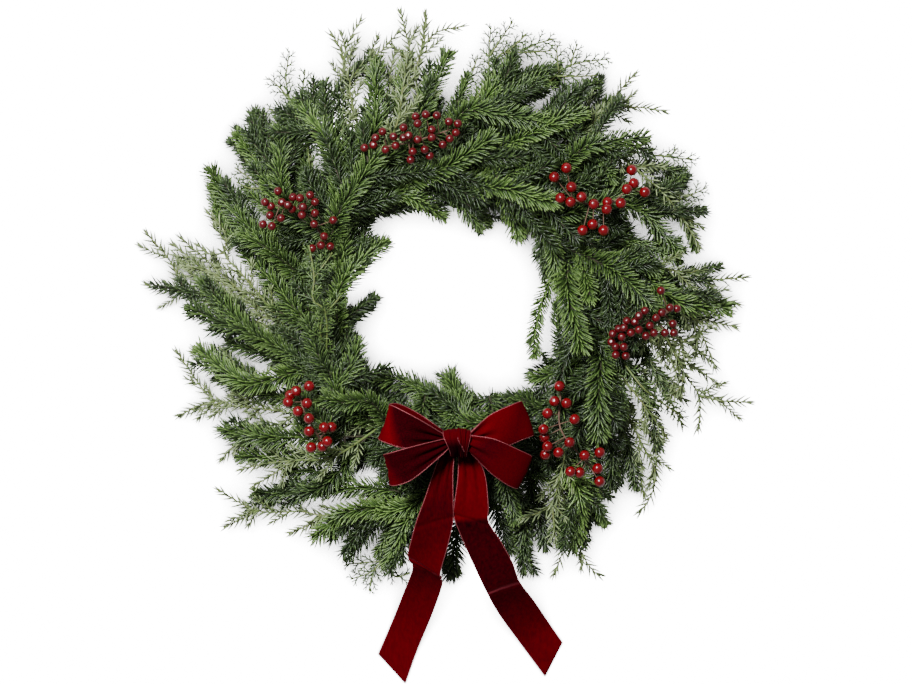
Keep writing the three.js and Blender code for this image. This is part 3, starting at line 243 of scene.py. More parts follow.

# Each low shoot that fills the wreath up behind those: its tone, reach, base, middle and tip.
# Their tones hold painted shade and light: the dark ones darken the deep foliage, and the light one at 580,490
# lifts the shaded lower right.
FILLING = {
    (Kind.FIR, Layer.BACK): """
0.9 12 402,120 402,90 408,55
0.2 10 455,112 462,92 468,74
0.5 10 500,92 530,72 560,66
0.2 9 625,170 655,166 685,172
0.5 9 625,240 650,248 680,262
0.5 9 668,205 688,225 697,250
0.5 13 305,318 275,285 243,252
0.0 11 315,330 290,318 262,300
0.8 9 235,240 217,215 212,185
0.5 9 285,225 262,205 245,188
0.0 12 305,368 265,355 228,342
0.5 11 310,408 280,398 250,385
0.5 12 340,450 290,458 238,457
0.3 11 345,480 315,472 285,470
0.5 13 400,492 360,488 322,492
0.2 12 628,330 648,362 668,392
0.1 11 640,380 652,415 660,450
0.1 11 622,430 632,460 636,488
0.2 9 562,350 558,325 558,300
0.0 12 488,490 500,520 510,552
0.0 12 530,480 540,515 545,548
0.8 10 580,490 592,505 602,522
0.5 9 395,520 385,540 376,556
0.0 9 440,540 440,556 445,572
0.1 12 300,402 255,393 216,377
0.2 10 640,300 665,313 688,326
0.2 10 578,440 591,458 601,476
0.5 9 470,196 481,210 489,224""",
    (Kind.FIR, Layer.MIDDLE): """
0.3 13 425,395 415,435 402,468
0.3 13 490,395 500,435 514,468
0.2 12 456,402 456,440 455,478
0.3 13 378,168 405,150 442,132
0.2 13 338,236 305,222 268,206
0.3 13 562,215 595,206 632,188
0.2 12 610,346 638,328 668,312
0.2 12 332,436 314,412 298,392
0.3 12 560,402 572,432 588,464""",
    (Kind.JUNIPER, Layer.BACK): """
0.7 8 232,288 200,265 170,243
0.6 8 240,300 205,285 180,262
0.4 8 640,345 662,380 688,402
0.5 8 640,420 655,445 656,480
0.5 8 262,405 225,402 192,412
0.5 8 250,372 218,362 190,352
0.7 8 352,125 348,90 352,45
0.7 8 392,110 390,75 396,48
0.5 8 668,325 692,345 711,362
0.4 8 652,365 670,400 684,428""",
}

# Each cluster: its name, berry radius and the height of its top, then the spine that its stems leave,
# the berries that the frame has too, and those that fill it up.
CLUSTERS = (
    ("berries_dark_top", DARK_BERRY, 92, """
374,150 415,142 452,130 /
416,118 404,129 432,131 383,133 396,147 365,149 418,141 449,123 456,134 430,157 443,146 /
426,116 437,117 418,125 376,139 409,137 394,138 374,146 386,151 432,139 458,125 425,151 413,153 411,161
450,140 404,139"""),
    ("berries_dark_left", DARK_BERRY, 88, """
326,242 305,212 276,206 /
279,192 266,203 289,206 301,199 316,203 271,216 303,216 315,225 325,237 331,247 /
283,203 294,198 311,196 264,225 273,227 282,219 304,208 316,214 334,221 313,249 322,246 272,207 293,210"""),
    ("berries_dark_right", DARK_BERRY, 84, """
668,312 640,324 614,345 /
660,291 676,309 644,311 661,313 626,321 649,326 612,334 630,333 672,324 615,347 625,356 /
669,308 638,316 655,318 623,328 621,337 638,330 653,333 645,336 664,333 673,333 611,342 623,347 615,355
634,322 618,329"""),
    ("berries_bright_upper_right", BRIGHT_BERRY, 90, """
572,200 603,207 628,190 /
566,169 554,178 571,188 560,199 581,198 593,205 606,210 620,204 631,171 633,184 644,193 582,231 592,225
603,231 /
570,203 607,203 626,190"""),
    ("berries_bright_lower_left", BRIGHT_BERRY, 88, """
320,438 305,412 300,393 /
310,386 297,391 289,402 299,411 308,403 310,418 310,431 325,427 328,441 312,447 /
291,395 332,427 323,446"""),
    ("berries_bright_lower_right", BRIGHT_BERRY, 90, """
560,396 560,428 586,462 /
559,386 554,401 566,403 547,413 574,419 543,429 569,442 547,446 558,452 584,455 599,452 570,471 597,468
599,481 /
544,437 545,454 579,472"""),
)

# Each ribbon strip: its two edges, with a height in millimetres.
RIBBONS = {
    "bow_loop_upper_left": """
443,433,97 418,418,110 397,407,106 390,404,96 400,404,87 420,414,83 443,430,84 /
443,441,93 408,447,102 386,441.5,101 379,437,94 388,436,85 412,440,81 443,441,84""",
    "bow_loop_lower_left": """
443,438.5,100 412,446,110 391,452,105 384,454,94 392,454,85 414,451,80 443,443.5,82 /
443,453,96 414,477,102 397,484,98 390,483,90 396,478,82 414,470,79 443,452,82""",
    "bow_loop_upper_right": """
471,432,97 489,415,110 512,404,107 521,401,97 512,405,87 491,414,83 471,431,84 /
471,442,93 500,446,101 522,438.5,102 533,434,95 524,434,86 500,438,82 471,441,84""",
    "bow_loop_lower_right": """
471,434.5,99 493,438,110 516,448,106 531,455.5,95 523,457,84 500,449,80 471,443.5,82 /
471,453,96 491,472,102 508,484,99 517,487,91 510,481,82 492,468,79 471,452,82""",
    "bow_tail_left": """
444,446,73.6 436,466,75 425,498,74 417,520,70 411,542,63 408,557,52 413,568,40 403.5,594,17 392.5,622,3
378.2,655.5,2 /
455,446,73.6 453,472,75 453,502,74 453,519,70 448,543,63 440,573,50 442,584,38 432,614,15 417,650.5,3
404.8,684.5,2""",
    "bow_tail_right": """
459,446,73.6 458,476,75 455,500,74 454,515,70 460,532,64 472,560,53 486.5,591,38 499.5,614.5,17
520,643,3 545.6,677.5,2 /
470,446,73.6 484,472,75 488,505,74 488,521,70 500,540,64 512,562,53 519,581,40 534,601.5,19 549.6,625,3
562.8,644,2""",
}
KNOT_PLAN = (457, 443)
KNOT_HEIGHT = 90
KNOT_HALF_LENGTH = 14.6

# ---- The frame's own sizes, in millimetres ----
RING_RADIUS = 152
WIRE_RADIUS = 2.5
CLAMP_COUNT = 10
CLAMP_WIRE_RADIUS = 1.4
CLAMP_HALF_WIDTH = 11
CLAMP_HEIGHT = 15.3
CLAMP_LIP = 2.6
STEM_RADIUS = 2.3
SPRIG_RADIUS = 1.4
TWIG_RADIUS = 1.1
STEM_SPACING = 6
SPRIG_ROW_HEIGHT = 12.2
SEAT_GAP = 0.3
FOLIAGE_EDGE_HEIGHT = 20
FOLIAGE_CROWN_HEIGHT = 50
CROWN_RADIUS = 160
CROWN_INNER_WIDTH = 65
CROWN_OUTER_WIDTH = 115
STALK_RADIUS = 1.2
WIRE_HALF_HEIGHT = WIRE_RADIUS * math.cos(math.pi / 6)
TINY = 1e-9


# ---- Small helpers ----
def places(text: str) -> tuple[tuple[float, ...], ...]:
    """Reads places that are written as x,y or x,y,z with a space between them."""
    return tuple(tuple(float(number) for number in place.split(",")) for place in text.split())


def parts(text: str) -> tuple[tuple[tuple[float, ...], ...], ...]:
    """Reads lists of places that have a stroke between them."""
    return tuple(places(part) for part in text.split("/"))


def plan_point(place: Sequence[float], z: float = 0.0) -> Array:
    """Turns a place of the plan into millimetres round the ring's centre, at height z."""
    x, y = place[0] - PLAN_CENTRE[0], PLAN_CENTRE[1] - place[1]
    return np.array([x * PLAN_UNIT, y * PLAN_UNIT, z])


def plan_distance(a: Array, b: Array) -> Array | float:
    """Gives the distance between points, or rows of them, as seen from above."""
    return np.hypot(a[..., 0] - b[..., 0], a[..., 1] - b[..., 1])


def unit(vectors: Array) -> Array:
    """Scales a vector, or rows of them, to length one."""
    return vectors / np.maximum(np.linalg.norm(vectors, axis=-1, keepdims=True), TINY)


def smoothstep(value: Array | float, low: float, high: float) -> Array | float:
    """Rises smoothly from 0, where a value is at low, to 1, where it is at high."""
    share = np.clip((value - low) / (high - low), 0, 1)
    return share * share * (3 - 2 * share)


def repeatable(seed: int) -> Callable[[], float]:
    """Makes the frame's own repeatable draw.

    Args:
        seed: where it starts.

    Returns:
        A function that draws between 0 and 1.
    """
    mask = 0xFFFFFFFF
    state = seed

    def draw() -> float:
        """Draws the next number."""
        nonlocal state
        state = (state + 0x6D2B79F5) & mask
        mixed = ((state ^ (state >> 15)) * (1 | state)) & mask
        mixed = ((mixed + (((mixed ^ (mixed >> 7)) * (61 | mixed)) & mask)) & mask) ^ mixed
        return ((mixed ^ (mixed >> 14)) & mask) / 4294967296

    return draw


def curve_points(points: Sequence[Array], shares: Array, even: bool = True) -> Array:
    """Reads a Catmull-Rom curve through some points.

    Args:
        points: the points it runs through.
        shares: where to read it, from 0 to 1.
        even: with knots spaced by the root of the distance, or else all alike.

    Returns:
        A row for each share.
    """
    given = np.array(points, float)
    ends = np.vstack([2 * given[0] - given[1], given, 2 * given[-1] - given[-2]])
    spans = len(given) - 1
    place = np.clip(shares, 0, 1) * spans
    index = np.minimum(place.astype(int), spans - 1)
    t = (place - index)[:, None]
    p0, p1, p2, p3 = (ends[index + i] for i in range(4))
    if even:
        pairs = ((p0, p1), (p1, p2), (p2, p3))
        d0, d1, d2 = (np.sqrt(np.linalg.norm(b - a, axis=1))[:, None] for a, b in pairs)
        m1 = ((p1 - p0) / d0 - (p2 - p0) / (d0 + d1) + (p2 - p1) / d1) * d1
        m2 = ((p2 - p1) / d1 - (p3 - p1) / (d1 + d2) + (p3 - p2) / d2) * d1
    else:
        m1, m2 = 0.5 * (p2 - p0), 0.5 * (p3 - p1)
    return p1 + m1 * t + (3 * (p2 - p1) - 2 * m1 - m2) * t**2 + (2 * (p1 - p2) + m1 + m2) * t**3


SAMPLE_SPACING = 5
ARC_DIVISIONS = 200


def sampled_curve(points: Sequence[Array]) -> Array:
    """Gives points about five millimetres apart on the smooth curve through some points.

    Args:
        points: the points it runs through.

    Returns:
        The samples, a row each.
    """
    shares = np.linspace(0, 1, ARC_DIVISIONS + 1)
    steps = np.linalg.norm(np.diff(curve_points(points, shares), axis=0), axis=1)
    lengths = np.concatenate([[0], np.cumsum(steps)])
    count = max(3, int(lengths[-1] / SAMPLE_SPACING + 0.5))
    wanted = np.linspace(0, lengths[-1], count + 1)
    return curve_points(points, np.interp(wanted, lengths, shares))


class Run:
    """A line that is read by the distance along it."""

    def __init__(self, path: Array) -> None:
        """Measures the line.

        Args:
            path: its points, a row each.
        """
        self.path = path
        steps = np.linalg.norm(np.diff(path, axis=0), axis=1)
        self.marks = np.concatenate([[0], np.cumsum(steps)])
        self.length = float(self.marks[-1])
        self.alongs = unit(np.gradient(path, axis=0))

    def at(self, distance: Array) -> Array:
        """Gives the points at some distances, a row for each."""
        return np.stack([np.interp(distance, self.marks, self.path[:, i]) for i in range(3)], axis=-1)

    def axes(self, distance: Array) -> tuple[Array, Array, Array]:
        """Gives the directions along, aside and up across the line.

        Args:
            distance: how far along each is.

        Returns:
            Three arrays with a row for each.
        """
        along = unit(np.stack([np.interp(distance, self.marks, way) for way in self.alongs.T], axis=-1))
        aside = unit(np.cross(along, UP))
        return along, aside, np.cross(aside, along)

    def nearest(self, place: Array) -> float:
        """Gives how far along the line is nearest to a place, seen from above."""
        return float(self.marks[int(np.argmin(plan_distance(self.path, place)))])


# ---- The layout: every stem finds a way clear of what is there before it ----
STEM_CLEARANCE = 1.3
FLOOR_CLEARANCE = 1
HELD_LENGTH = 15
HELD_SAMPLE = 2
FORK_LENGTH = 4
FIRST_FORK = 6
FIRST_ROOT = 4
TAIL_BACK = 12
GRIP_AHEAD = 5
LEAVING = (18, 2)
CLIMB_LENGTH = 95
SHIFT_RAMP = 60
MOST_LIFT = 44
MOST_ASIDE = 16
LIFT_STEP = 2
ASIDE_STEP = 4
ASIDE_COST = 1.5
NEAR_MARGIN = 24
FORK_SHARES = (0.45, 0.6, 0.3, 0.75, 0.9)
FIR_PER_BRANCH = 3
CLAMP_STEP = 2 * math.pi / CLAMP_COUNT
CLAMP_LEAD = math.radians(14)


def possible_moves() -> list[Pair]:
    """Lists the moves that a stem tries, up or down and aside, the smallest first.

    Returns:
        Each move.
    """
    moves = []
    for aside in range(0, MOST_ASIDE + 1, ASIDE_STEP):
        for lift in range(0, MOST_LIFT + 1, LIFT_STEP):
            for move in ((lift, aside), (-lift, aside), (lift, -aside), (-lift, -aside)):
                moves.append((lift + ASIDE_COST * aside, move))
    moves.sort(key=lambda entry: entry[0])
    return [move for _, move in moves]


@dataclass
class Room:
    """The room that is taken: points, each with a radius and its owner."""

    points: list[Array] = field(default_factory=list)
    radii: list[float] = field(default_factory=list)
    owners: list[str] = field(default_factory=list)
    moves: list[Pair] = field(default_factory=possible_moves)

    def take(self, owner: str, points: Iterable[Array], radius: float) -> None:
        """Marks points as taken.

        Args:
            owner: the node they belong to.
            points: the points.
            radius: the room round each.
        """
        for point in points:
            self.points.append(point)
            self.radii.append(radius)
            self.owners.append(owner)

    def others(self, *owners: str) -> tuple[Array, Array]:
        """Gives the points and radii that others than these owners have taken."""
        keep = np.array([owner not in owners for owner in self.owners])
        return np.array(self.points)[keep], np.array(self.radii)[keep]

    def settle(self, owner: str, path: Array, radius: float, held: float) -> Array | None:
        """Moves a path from its fixed start until it is clear, and takes its place.

        Args:
            owner: the node it belongs to.
            path: the points it would like to run through.
            radius: the stem's radius.
            held: how much of its start stays as it is.

        Returns:
            The path, or nothing where no move is clear.
        """
        out = plan_distance(path, path[0])
        ramp = smoothstep(out, held, SHIFT_RAMP)
        aside = unit(np.cross(path[-1] - path[0], UP))
        bow = ramp * np.sin(math.pi * np.arange(len(path)) / (len(path) - 1))
        first = int(np.argmax(out > held)) if np.any(out > held) else len(path) - 1
        least = np.minimum(path[:, 2], path[0, 2])
        points, radii = self.others(owner)
        reach = MOST_LIFT + NEAR_MARGIN
        near = np.all((points > path.min(0) - reach) & (points < path.max(0) + reach), axis=1)
        points, radii = points[near], radii[near]
        room = radius + radii[None, :] + (STEM_CLEARANCE * ramp[first:])[:, None]
        for up, across in self.moves:
            moved = path + aside * (across * bow)[:, None]
            moved[:, 2] = np.maximum(path[:, 2] + up * ramp, least)
            free = moved[first:]
            if np.any(free[:, 2] <= radius + FLOOR_CLEARANCE):
                continue
            gaps = np.linalg.norm(free[:, None, :] - points[None, :, :], axis=2)
            if np.all(gaps > room):
                self.take(owner, moved, radius)
                return moved
        return None


def foliage_height(point: Array, layer: Layer) -> float:
    """Gives the height of a layer of foliage over a place.

    Args:
        point: the place.
        layer: the layer.

    Returns:
        The height in millimetres.
    """
    offset = math.hypot(point[0], point[1]) - CROWN_RADIUS
    width = CROWN_INNER_WIDTH if offset < 0 else CROWN_OUTER_WIDTH
    crown = max(0.0, 1 - (offset / width) ** 2)
    return (FOLIAGE_EDGE_HEIGHT + FOLIAGE_CROWN_HEIGHT * crown) * layer.value


@dataclass
class Shoot:
    """One shoot or sprig of the plan."""

    layer: Layer
    plan: tuple
    reach: float = 0.0
    tone: float = 0.5
    twigs: tuple = ()

    def climb(self, held: Array) -> list[Array]:
        """Gives its plan points at their heights, climbing from where its stem is held.

        Args:
            held: where the stem is held.

        Returns:
            The points.
        """
        points = []
        for place in self.plan:
            point = plan_point(place)
            rise = smoothstep(plan_distance(point, held), 0, CLIMB_LENGTH)
            point[2] = held[2] + (foliage_height(point, self.layer) - held[2]) * rise
            points.append(point)
        return points


@dataclass
class Strand:
    """One settled stem of a branch, with the part of it that carries foliage."""

    path: Array
    bare: Array
    radius: float
    reach: float = 0.0
    tone: float = 0.5
    forked: bool = True
    plan: tuple = ()
    twigs: tuple = ()


def clamp_axes(index: int) -> tuple[Array, Array, Array]:
    """Gives a clamp's place and directions.

    Args:
        index: which clamp.

    Returns:
        Its centre, the way outwards and the way clockwise.
    """
    angle = index * CLAMP_STEP
    outward = np.array([math.cos(angle), math.sin(angle), 0.0])
    return outward * RING_RADIUS, outward, np.array([math.sin(angle), -math.cos(angle), 0.0])


def clamp_before(base: Array) -> int:
    """Gives the clamp that holds a shoot, because foliage runs clockwise from its clamp."""
    angle = math.atan2(base[1], base[0])
    return (math.ceil((angle + CLAMP_LEAD) / CLAMP_STEP) + CLAMP_COUNT) % CLAMP_COUNT


@dataclass
class Branch:
    """A cut branch or a bunch of sprigs, held in one clamp."""

    name: str
    kind: Kind
    clamp: int
    offset: float
    height: float
    radius: float
    members: list[Shoot]
    strands: list[Strand] = field(default_factory=list)

    def strand(self, shoot: Shoot, path: Array, forked: bool) -> None:
        """Adds a shoot with the way that it found, forked from another stem or not."""
        bare = plan_point(shoot.plan[0])
        self.strands.append(Strand(path, bare, self.radius, shoot.reach, shoot.tone, forked, shoot.plan,
                                   shoot.twigs))

    def lay_trunk(self, room: Room) -> None:
        """Lays out its trunk: the first of its shoots that has a clear way from the clamp.

        Args:
            room: what is taken.
        """
        centre, outward, clockwise = clamp_axes(self.clamp)
        held = centre + outward * self.offset + UP * self.height
        ahead, up = LEAVING
        fixed = [held - clockwise * TAIL_BACK, held + clockwise * GRIP_AHEAD, held + clockwise * ahead + UP * up]
        for shoot in self.members:
            line = sampled_curve([*fixed, *shoot.climb(held)])
            path = room.settle(self.name, line, self.radius, HELD_LENGTH)
            if path is not None:
                self.strand(shoot, path, False)
                return

    def lay_side(self, room: Room, shoot: Shoot) -> None:
        """Lays out a side shoot from the first fork on the trunk that has a clear way out.

        Args:
            room: what is taken.
            shoot: the shoot.
        """
        trunk = self.strands[0].path
        out = plan_distance(trunk, trunk[0])
        base = plan_distance(plan_point(shoot.plan[0]), trunk[0])
        for share in FORK_SHARES:
            past = np.nonzero(out >= base * share)[0]
            fork = max(FIRST_FORK, int(past[0]) if len(past) else len(trunk) // 2)
            points = [trunk[fork], *shoot.climb(trunk[HELD_SAMPLE])]
            path = room.settle(self.name, sampled_curve(points), self.radius, FORK_LENGTH)
            if path is not None:
                self.strand(shoot, path, True)
                return

    def lay_twigs(self, room: Room, stem: Strand) -> None:
        """Lays out the twigs that fork from one of its stems.

        Args:
            room: what is taken.
            stem: the stem.
        """
        known = list(stem.path)
        for plan in stem.twigs:
            start = plan_point(plan[0])
            fork = min(known, key=lambda point: plan_distance(point, start))
            points = [fork, *(plan_point(place, fork[2]) for place in plan[1:])]
            path = room.settle(self.name, sampled_curve(points), TWIG_RADIUS, FORK_LENGTH)
            if path is not None:
                known.extend(path)
                self.strands.append(Strand(path, start, TWIG_RADIUS, tone=stem.tone))


def stem_seat(offset: float) -> float:
    """Gives how high a fir stem lies in its clamp at some offset from the ring's wire."""
    support = 2 * WIRE_HALF_HEIGHT if abs(offset) < STEM_SPACING else WIRE_HALF_HEIGHT + CLAMP_WIRE_RADIUS
    return support + SEAT_GAP + STEM_RADIUS / 2


def grouped(shoots: Iterable[Shoot]) -> list[list[Shoot]]:
    """Sorts shoots by the clamp that holds them.

    Args:
        shoots: the shoots.

    Returns:
        A list for each clamp.
    """
    clamps: list[list[Shoot]] = [[] for _ in range(CLAMP_COUNT)]
    for shoot in shoots:
        clamps[clamp_before(plan_point(shoot.plan[0]))].append(shoot)
    return clamps


def fir_branches() -> list[Branch]:
    """Groups the shoots of each clamp into branches, from the inside of the wreath out.

    Returns:
        The branches.
    """
    shoots = []
    for layer, rows in FIR_SHOOTS.items():
        for tone, reach, plan in (row.split(" ", 2) for row in rows.split("\n")[1:]):
            shoots.append(Shoot(layer, places(plan), float(reach), FIR_TONES[tone]))
    branches = []
    for clamp, own in enumerate(grouped(shoots)):
        own.sort(key=lambda shoot: float(np.hypot(*plan_point(shoot.plan[2])[:2])))
        count = max(1, int(len(own) / FIR_PER_BRANCH + 0.5))
        for group in range(count):
            offset = (group - (count - 1) / 2) * STEM_SPACING
            members = [shoot for i, shoot in enumerate(own) if i * count // len(own) == group]
            members.sort(key=lambda shoot: shoot.layer.value)
            name = f"fir_branch_{clamp + 1:02d}_{'abcd'[group]}"
            branches.append(Branch(name, Kind.FIR, clamp, offset, stem_seat(offset), STEM_RADIUS, members))
    return branches


def sprig_bunches() -> list[Branch]:
    """Groups the sprigs of one kind in a clamp into bunches that share a stem.

    Returns:
        The bunches.
    """
    branches = []
    for column, kind in enumerate((Kind.JUNIPER, Kind.CYPRESS)):
        own = []
        for (which, layer), rows in SPRIGS.items():
            for plan, *twigs in (parts(row) for row in rows.split("\n")[1:] if which is kind):
                own.append(Shoot(layer, plan, twigs=tuple(twigs)))
        for clamp, members in enumerate(grouped(own)):
            if members:
                members.sort(key=lambda shoot: shoot.layer.value)
                name = f"{kind.value}_sprig_{clamp + 1:02d}"
                offset = (column - 0.5) * STEM_SPACING
                branches.append(Branch(name, kind, clamp, offset, SPRIG_ROW_HEIGHT, SPRIG_RADIUS, members))
    return branches


def fill_in(branches: list[Branch]) -> None:
    """Adds the low shoots, each to the branch of its kind that runs nearest to its base.

    Args:
        branches: the branches, already laid out.
    """
    for (kind, layer), rows in FILLING.items():
        own = [(branch, point) for branch in branches if branch.kind is kind
               for point in branch.strands[0].path[FIRST_ROOT:]]
        for tone, reach, plan in (row.split(" ", 2) for row in rows.split("\n")[1:]):
            points = [plan_point(place) for place in places(plan)]
            base = points[0].copy()
            branch, root = min(own, key=lambda pair: plan_distance(pair[1], base))
            for point in points:
                point[2] = foliage_height(point, layer)
            path = sampled_curve([root, *points])
            branch.strands.append(Strand(path, base, TWIG_RADIUS, float(reach), float(tone), True))


def lay_out(branches: list[Branch], room: Room) -> None:
    """Lays out every stem: trunks, then side shoots from the lowest layer up, then twigs.

    Args:
        branches: the branches, which get their strands.
        room: what is taken.
    """
    for branch in sorted(branches, key=lambda one: one.members[0].layer.value):
        branch.lay_trunk(room)
    jobs = [(branch, shoot) for branch in branches for shoot in branch.members
            if shoot.plan is not branch.strands[0].plan]
    for branch, shoot in sorted(jobs, key=lambda job: job[1].layer.value):
        branch.lay_side(room, shoot)
    for branch in branches:
        for stem in [strand for strand in branch.strands if strand.twigs]:
            branch.lay_twigs(room, stem)


# ---- Meshes ----
@dataclass
class Piece:
    """A piece in the making: blocks of vertices in millimetres, faces and growth marks.

    A growth mark holds a draw of the needle's own, the share along the needle (its root gets painted shade), how
    much the vertex belongs to the underside, and how light the whole shoot is. On the velvet the last two hold
    the painted highlight on its creases and its painted light and shade.
    """

    name: str
    vertices: list[Array] = field(default_factory=list)
    growth: list[Array] = field(default_factory=list)
    faces: list[list[list[int]]] = field(default_factory=list)
    slots: list[Array] = field(default_factory=list)
    count: int = 0

    def add(self, vertices: Array, faces: Sequence[Array], growth: Array | None = None,
            slot: int = 0) -> None:
        """Adds a block.

        Args:
            vertices: its vertices, a row each.
            faces: arrays of faces, each with one number of corners.
            growth: a growth mark for each vertex.
            slot: the material's place among the piece's materials.
        """
        self.vertices.append(vertices)
        self.growth.append(np.zeros((len(vertices), 4)) + 0.5 if growth is None else growth)
        for corners in faces:
            if len(corners):
                self.faces.append((corners + self.count).tolist())
                self.slots.append(np.full(len(corners), slot))
        self.count += len(vertices)

    def finish(self, materials: Sequence[Material]) -> Object:
        """Makes the object, in metres.

        Args:
            materials: the piece's materials in the order of its slots.

        Returns:
            The object, linked to the scene.
        """
        mesh = bpy.data.meshes.new(self.name)
        points = np.vstack(self.vertices) * MM + CENTRE
        mesh.from_pydata(points.tolist(), [], [face for block in self.faces for face in block])
        for material in materials:
            mesh.materials.append(material)
        mesh.polygons.foreach_set("material_index", np.concatenate(self.slots).astype(np.int32))
        mesh.polygons.foreach_set("use_smooth", np.ones(len(mesh.polygons), bool))
        marks = mesh.attributes.new("growth", "FLOAT_COLOR", "POINT")
        marks.data.foreach_set("color", np.vstack(self.growth).astype(np.float32).ravel())
        mesh.update()
        built = bpy.data.objects.new(self.name, mesh)
        bpy.context.scene.collection.objects.link(built)
        return built


def tube(points: Array, radii: Array, sides: int = 6,
         across: Array = UP) -> tuple[Array, list[Array]]:
    """Makes a closed round tube along some points.

    Args:
        points: its middle line, a row each.
        radii: its radius at each.
        sides: how many sides it has.
        across: a direction that the line never takes.

    Returns:
        Its vertices and its faces.
    """
    along = unit(np.gradient(points, axis=0))
    aside = unit(np.cross(along, across))
    rise = np.cross(aside, along)
    turns = np.linspace(0, 2 * math.pi, sides, endpoint=False)[None, :, None]
    ring = aside[:, None, :] * np.cos(turns) + rise[:, None, :] * np.sin(turns)
    body = points[:, None, :] + ring * np.asarray(radii)[:, None, None]
    rows = len(points)
    index = np.arange(rows * sides).reshape(rows, sides)
    ahead = np.roll(index, -1, axis=1)
    quads = np.stack([index[:-1], ahead[:-1], ahead[1:], index[1:]], axis=-1).reshape(-1, 4)
    first, last = rows * sides, rows * sides + 1
    caps = np.vstack([
        np.stack([ahead[0], index[0], np.full(sides, first)], axis=-1),
        np.stack([index[-1], ahead[-1], np.full(sides, last)], axis=-1)])
    return np.vstack([body.reshape(-1, 3), points[:1], points[-1:]]), [quads, caps]


# Where a needle's outline is read, from its root on, and how wide it is there.
FINE_BLADE = ((0.0, 0.55), (0.35, 0.95), (0.88, 0.82))
AWL_BLADE = ((0.0, 0.9), (0.35, 1.0), (0.75, 0.6))
PLAIN_BLADE = ((0.0, 0.7), (0.55, 1.0))
RIDGE_RISE = 0.3
KEEL_DROP = 0.42
# How much the corners of a needle belong to its underside: its edge, ridge, other edge and keel.
CORNER_UNDERS = (0.25, 0.0, 0.25, 1.0)
TIP_UNDER = 0.2


@dataclass
class Blades:
    """Many needles at once: slim bent blades with a ridge above and a keel below."""

    roots: Array
    ways: Array
    rises: Array
    lengths: Array
    width: float
    bends: Array
    draws: Array
    tones: Array
    shape: tuple = FINE_BLADE

    def block(self) -> tuple[Array, list[Array], Array]:
        """Makes all the needles.

        Returns:
            Their vertices, faces and growth marks.
        """
        count = len(self.roots)
        rises = unit(self.rises - self.ways * np.sum(self.rises * self.ways, axis=1, keepdims=True))
        asides = np.cross(self.ways, rises)
        rows, marks = [], []
        for station, share in (*self.shape, (1.0, 0.0)):
            middle = self.roots + self.ways * (self.lengths * station)[:, None] + self.bends * station**2
            half = self.width * share / 2
            corners = [middle - asides * half, middle + rises * half * RIDGE_RISE,
                       middle + asides * half, middle - rises * half * KEEL_DROP]
            pairs = zip(corners, CORNER_UNDERS) if share else [(middle, TIP_UNDER)]
            for corner, under in pairs:
                rows.append(corner)
                marks.append(np.stack([self.draws, np.full(count, station), np.full(count, under),
                                       self.tones], axis=-1))
        vertices = np.stack(rows, axis=1).reshape(-1, 3)
        growth = np.stack(marks, axis=1).reshape(-1, 4)
        quads, tips = [], []
        last = (len(self.shape) - 1) * 4
        for side in range(4):
            ahead = (side + 1) % 4
            for row in range(0, last, 4):
                quads.append([row + side, row + ahead, row + 4 + ahead, row + 4 + side])
            tips.append([last + side, last + ahead, last + 4])
        starts = (np.arange(count) * (last + 5))[:, None, None]
        return vertices, [(np.array(quads)[None] + starts).reshape(-1, 4),
                          (np.array(tips)[None] + starts).reshape(-1, 3)], growth


# ---- Finishes ----
class Nodes:
    """Builds a node tree, one named node after another."""

    def __init__(self, tree: NodeTree) -> None:
        """Takes an empty tree."""
        self.tree = tree

    def link(self, source: NodeSocket, target: NodeSocket) -> None:
        """Links two sockets."""
        self.tree.links.new(source, target)

    def add(self, kind: str, settings: dict | None = None, **inputs: object) -> Node:
        """Adds a node and sets or links its inputs.

        Args:
            kind: the node's type name, without its prefix.
            settings: attributes of the node.
            inputs: values or sockets, by the socket's name with _ for each space.

        Returns:
            The node.
        """
        node = self.tree.nodes.new(f"ShaderNode{kind}")
        for key, value in (settings or {}).items():
            setattr(node, key, value)
        for key, value in inputs.items():
            name = key.replace("_", " ")
            numbered = key.startswith("at") and key[2:].isdigit()
            socket = node.inputs[int(key[2:]) if numbered else name]
            if isinstance(value, NodeSocket):
                self.link(value, socket)
            else:
                socket.default_value = value
        return node

    def math(self, operation: str, *values: object) -> NodeSocket:
        """Adds a Math node for some numbers or sockets and gives its result."""
        inputs = {f"at{i}": value for i, value in enumerate(values)}
        return self.add("Math", {"operation": operation}, **inputs).outputs[0]

    def mix(self, share: object, first: object, second: object, blend: str = "MIX") -> NodeSocket:
        """Mixes a share of the second colour into the first, each a value or a socket."""
        node = self.add("Mix", {"data_type": "RGBA", "blend_type": blend}, at0=share, at6=first, at7=second)
        return node.outputs[2]


def rgba(colour: Colour) -> tuple[float, float, float, float]:
    """Gives a colour its full alpha."""
    return (*colour, 1.0)


def group_tree(name: str, inputs: dict[str, tuple[str, object]],
               output: tuple[str, str]) -> tuple[Nodes, NodeOutputs, NodeSocket]:
    """Makes an empty shader node group with its sockets.

    Args:
        name: the group's name.
        inputs: each input's socket type and default.
        output: the name and socket type of what it puts out.

    Returns:
        Its nodes, what it is given and the socket of what it puts out.
    """
    tree = bpy.data.node_groups.new(name, "ShaderNodeTree")
    for key, (kind, value) in inputs.items():
        tree.interface.new_socket(key, in_out="INPUT", socket_type=kind).default_value = value
    tree.interface.new_socket(output[0], in_out="OUTPUT", socket_type=output[1])
    given = tree.nodes.new("NodeGroupInput")
    return Nodes(tree), given.outputs, tree.nodes.new("NodeGroupOutput").inputs[0]


COLOUR = "NodeSocketColor"
NUMBER = "NodeSocketFloat"
GREY = (0.5, 0.5, 0.5, 1.0)


